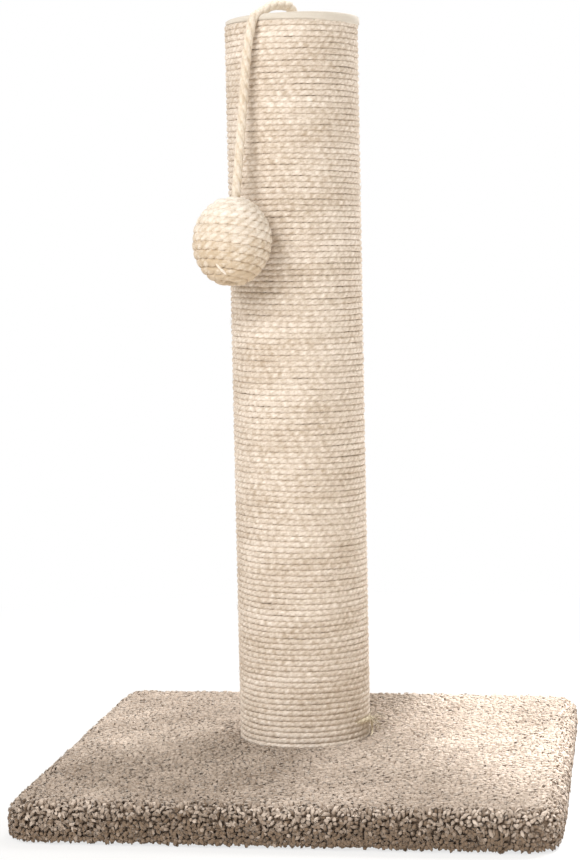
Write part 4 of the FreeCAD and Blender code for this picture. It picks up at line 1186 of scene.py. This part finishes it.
# %% Hard materials
def speckled(name, dark, light, grain, roughness, stretch=(1, 1, 1), detail=4.0):
    """A matt material whose two colours are mixed by noise of a real grain size."""
    material, tree = new_material(name)
    coords = add(tree, "ShaderNodeTexCoord")
    place = add(tree, "ShaderNodeMapping", {0: coords.outputs["Object"], "Scale": stretch})
    noise = add(tree, "ShaderNodeTexNoise",
                {"Vector": place.outputs[0], "Scale": 1 / grain, "Detail": detail})
    share = add(tree, "ShaderNodeMapRange",
                {"Value": noise.outputs[0], "From Min": 0.3, "From Max": 0.7})
    colour = add(tree, "ShaderNodeMix",
                 {0: share.outputs[0], 6: paint(dark), 7: paint(light)}, data_type="RGBA")
    relief = add(tree, "ShaderNodeBump",
                 {"Height": noise.outputs[0], "Distance": 0.05 * MM, "Strength": 0.5})
    shader = add(tree, "ShaderNodeBsdfPrincipled",
                 {"Base Color": colour.outputs[2], "Roughness": roughness,
                  "Normal": relief.outputs[0]})
    close_material(tree, shader)
    return material


def steel(name, tint, roughness, scratches):
    """Steel wire or zinc plate: metallic, with fine scratches that spread its gloss."""
    material, tree = new_material(name)
    coords = add(tree, "ShaderNodeTexCoord")
    noise = add(tree, "ShaderNodeTexNoise",
                {"Vector": coords.outputs["Object"], "Scale": 1 / scratches, "Detail": 3.0})
    rough = add(tree, "ShaderNodeMapRange",
                {"Value": noise.outputs[0], "To Min": roughness * 0.7, "To Max": roughness * 1.3})
    shader = add(tree, "ShaderNodeBsdfPrincipled",
                 {"Base Color": paint(tint), "Metallic": 1.0, "Roughness": rough.outputs[0]})
    close_material(tree, shader)
    return material


fibreboard = speckled("fibreboard_raw", "#8E6D48", "#B08D62", 1.2 * MM, 0.85)
plug_wood = speckled("pine_raw", "#C19A66", "#E2C391", 2.5 * MM, 0.7, stretch=(1, 1, 0.08))
cardboard = speckled("kraft_board_wound", "#8C6A47", "#AF8C66", 5 * MM, 0.9,
                     stretch=(1, 1, 0.35))
foam = speckled("expanded_polystyrene", "#DEDEDA", "#F6F6F2", 3 * MM, 0.6, detail=0.5)
zinc = steel("steel_zinc_plated", "#C9CBCD", 0.35, 0.6 * MM)
wire = steel("staple_wire_bright", "#CFCFCF", 0.3, 0.3 * MM)
# The staples that hold the winding get a pale cream colour that is not metallic.
pale_wire = speckled("staple_wire_pale_cream", "#D9CBB6", "#F1E7D8", 0.8 * MM, 0.45)

NODE_FINISHES = {
    "base_board": fibreboard, "bottom_plug": plug_wood, "top_plug": plug_wood,
    "post_tube": cardboard, "ball_core": foam, "post_bolt": zinc, "bolt_washer": zinc,
    "plug_insert": zinc, "carpet_staples": wire, "bottom_plug_staples": wire,
    "top_plug_staples": wire, "wrap_staples": pale_wire,
    "sisal_wrap": sisal, "sisal_tail": sisal, "ball_winding": pale_sisal,
    "toy_rope_top": cotton, "toy_rope_bend": cotton, "toy_rope_drop": cotton,
    "top_knot": cotton, "ball_knot": cotton, "base_carpet": pile,
    "top_cap": felt_cap.data.materials[0],
}
for node, finish in NODE_FINISHES.items():
    for slot in frame["nodes"][node].material_slots:
        slot.material = finish
print("finished nodes: %d of %d" % (len(NODE_FINISHES), len(frame["nodes"])))

# %% [markdown]
# ## Floor, light and background
# A pale floor keeps the shadow under the base.  What the camera sees directly of the floor is
# mostly plain white, and wholly so from 0.7 m off, so the background is white without more light
# on the object.

# %% Floor
FLOOR_HALF = 4.0
WHITER_FROM = 0.2
WHITE_FROM = 0.7
LEAST_WHITE = 0.75
floor = make_piece("floor", [(-FLOOR_HALF, -FLOOR_HALF, 0), (FLOOR_HALF, -FLOOR_HALF, 0),
                             (FLOOR_HALF, FLOOR_HALF, 0), (-FLOOR_HALF, FLOOR_HALF, 0)],
                   [(0, 1, 2, 3)])
material, tree = new_material("studio_floor")
rays = add(tree, "ShaderNodeLightPath")
where = add(tree, "ShaderNodeNewGeometry")
distance = add(tree, "ShaderNodeVectorMath", {0: where.outputs["Position"]}, operation="LENGTH")
white_share = add(tree, "ShaderNodeMapRange",
                  {"Value": distance.outputs["Value"], "From Min": WHITER_FROM,
                   "From Max": WHITE_FROM, "To Min": LEAST_WHITE, "To Max": 1.0})
seen = add(tree, "ShaderNodeMath",
           {0: rays.outputs["Is Camera Ray"], 1: white_share.outputs[0]}, operation="MULTIPLY")
matt = add(tree, "ShaderNodeBsdfDiffuse", {"Color": paint("#F2F2F2")})
white = add(tree, "ShaderNodeEmission", {"Color": paint("#FFFFFF"), "Strength": 1.0})
mixed = add(tree, "ShaderNodeMixShader",
            {0: seen.outputs[0], 1: matt.outputs[0], 2: white.outputs[0]})
close_material(tree, mixed)
floor.data.materials.append(material)
floor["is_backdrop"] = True
print("floor: %.0f m wide" % (2 * FLOOR_HALF))

# %% [markdown]
# The world fills the shadows with a warm light and shows the camera plain white.  A large lamp
# high behind the post gives the base its shadow, and one in front on the left lights the post
# and leaves its right side darker.  A narrow spot lamp makes the bright patch at the right of
# the carpet.

# %% Light
WORLD_STRENGTH = 0.46
world = bpy.data.worlds.new("studio")
world.use_nodes = True
tree = world.node_tree
tree.nodes.clear()
rays = add(tree, "ShaderNodeLightPath")
fill = add(tree, "ShaderNodeBackground", {"Color": paint("#FFF1DF"), "Strength": WORLD_STRENGTH})
white = add(tree, "ShaderNodeBackground", {"Color": paint("#FFFFFF"), "Strength": 1.0})
mixed = add(tree, "ShaderNodeMixShader",
            {0: rays.outputs["Is Camera Ray"], 1: fill.outputs[0], 2: white.outputs[0]})
add(tree, "ShaderNodeOutputWorld", {"Surface": mixed.outputs[0]})
bpy.context.scene.world = world


def soft_lamp(name, place, aim, size, watts, kind="AREA"):
    """A lamp of a size that points from a place to an aim."""
    data = bpy.data.lights.new(name, kind)
    if kind == "AREA":
        data.size = size
    else:
        data.shadow_soft_size = size
    data.energy = watts
    lamp = bpy.data.objects.new(name, data)
    bpy.context.collection.objects.link(lamp)
    lamp.location = place
    lamp.rotation_euler = (Vector(aim) - Vector(place)).to_track_quat("-Z", "Y").to_euler()
    return lamp


soft_lamp("key", (0.71, 1.33, 2.35), (0.08, 0.05, 0.05), 1.2, 56)
soft_lamp("front", (-0.62, -1.6, 1.3), (0, 0, 0.25), 1.0, 28)
pool = soft_lamp("pool", (0.95, 0.62, 1.5), (0.483, 0.195, 0), 0.03, 178, kind="SPOT")
pool.data.spot_size = math.radians(27.8)
pool.data.spot_blend = 0.08
bpy.context.scene.view_settings.view_transform = "Standard"
print("world and three lamps")

# %% [markdown]
# ## Sizes
# The box round everything is set beside the CAD's box, and how far the soft pieces stand out of
# the solids is printed.

# %% Sizes and finish
boxes = {"cad": [list(corner) for corner in CAD_BOX],
         "visual": [list(corner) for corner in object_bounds()]}
for axis in range(3):
    grows = [boxes["cad"][0][axis] - boxes["visual"][0][axis],
             boxes["visual"][1][axis] - boxes["cad"][1][axis]]
    print("axis %d: visual stands %.1f and %.1f mm outside the CAD box"
          % (axis, grows[0] / MM, grows[1] / MM))
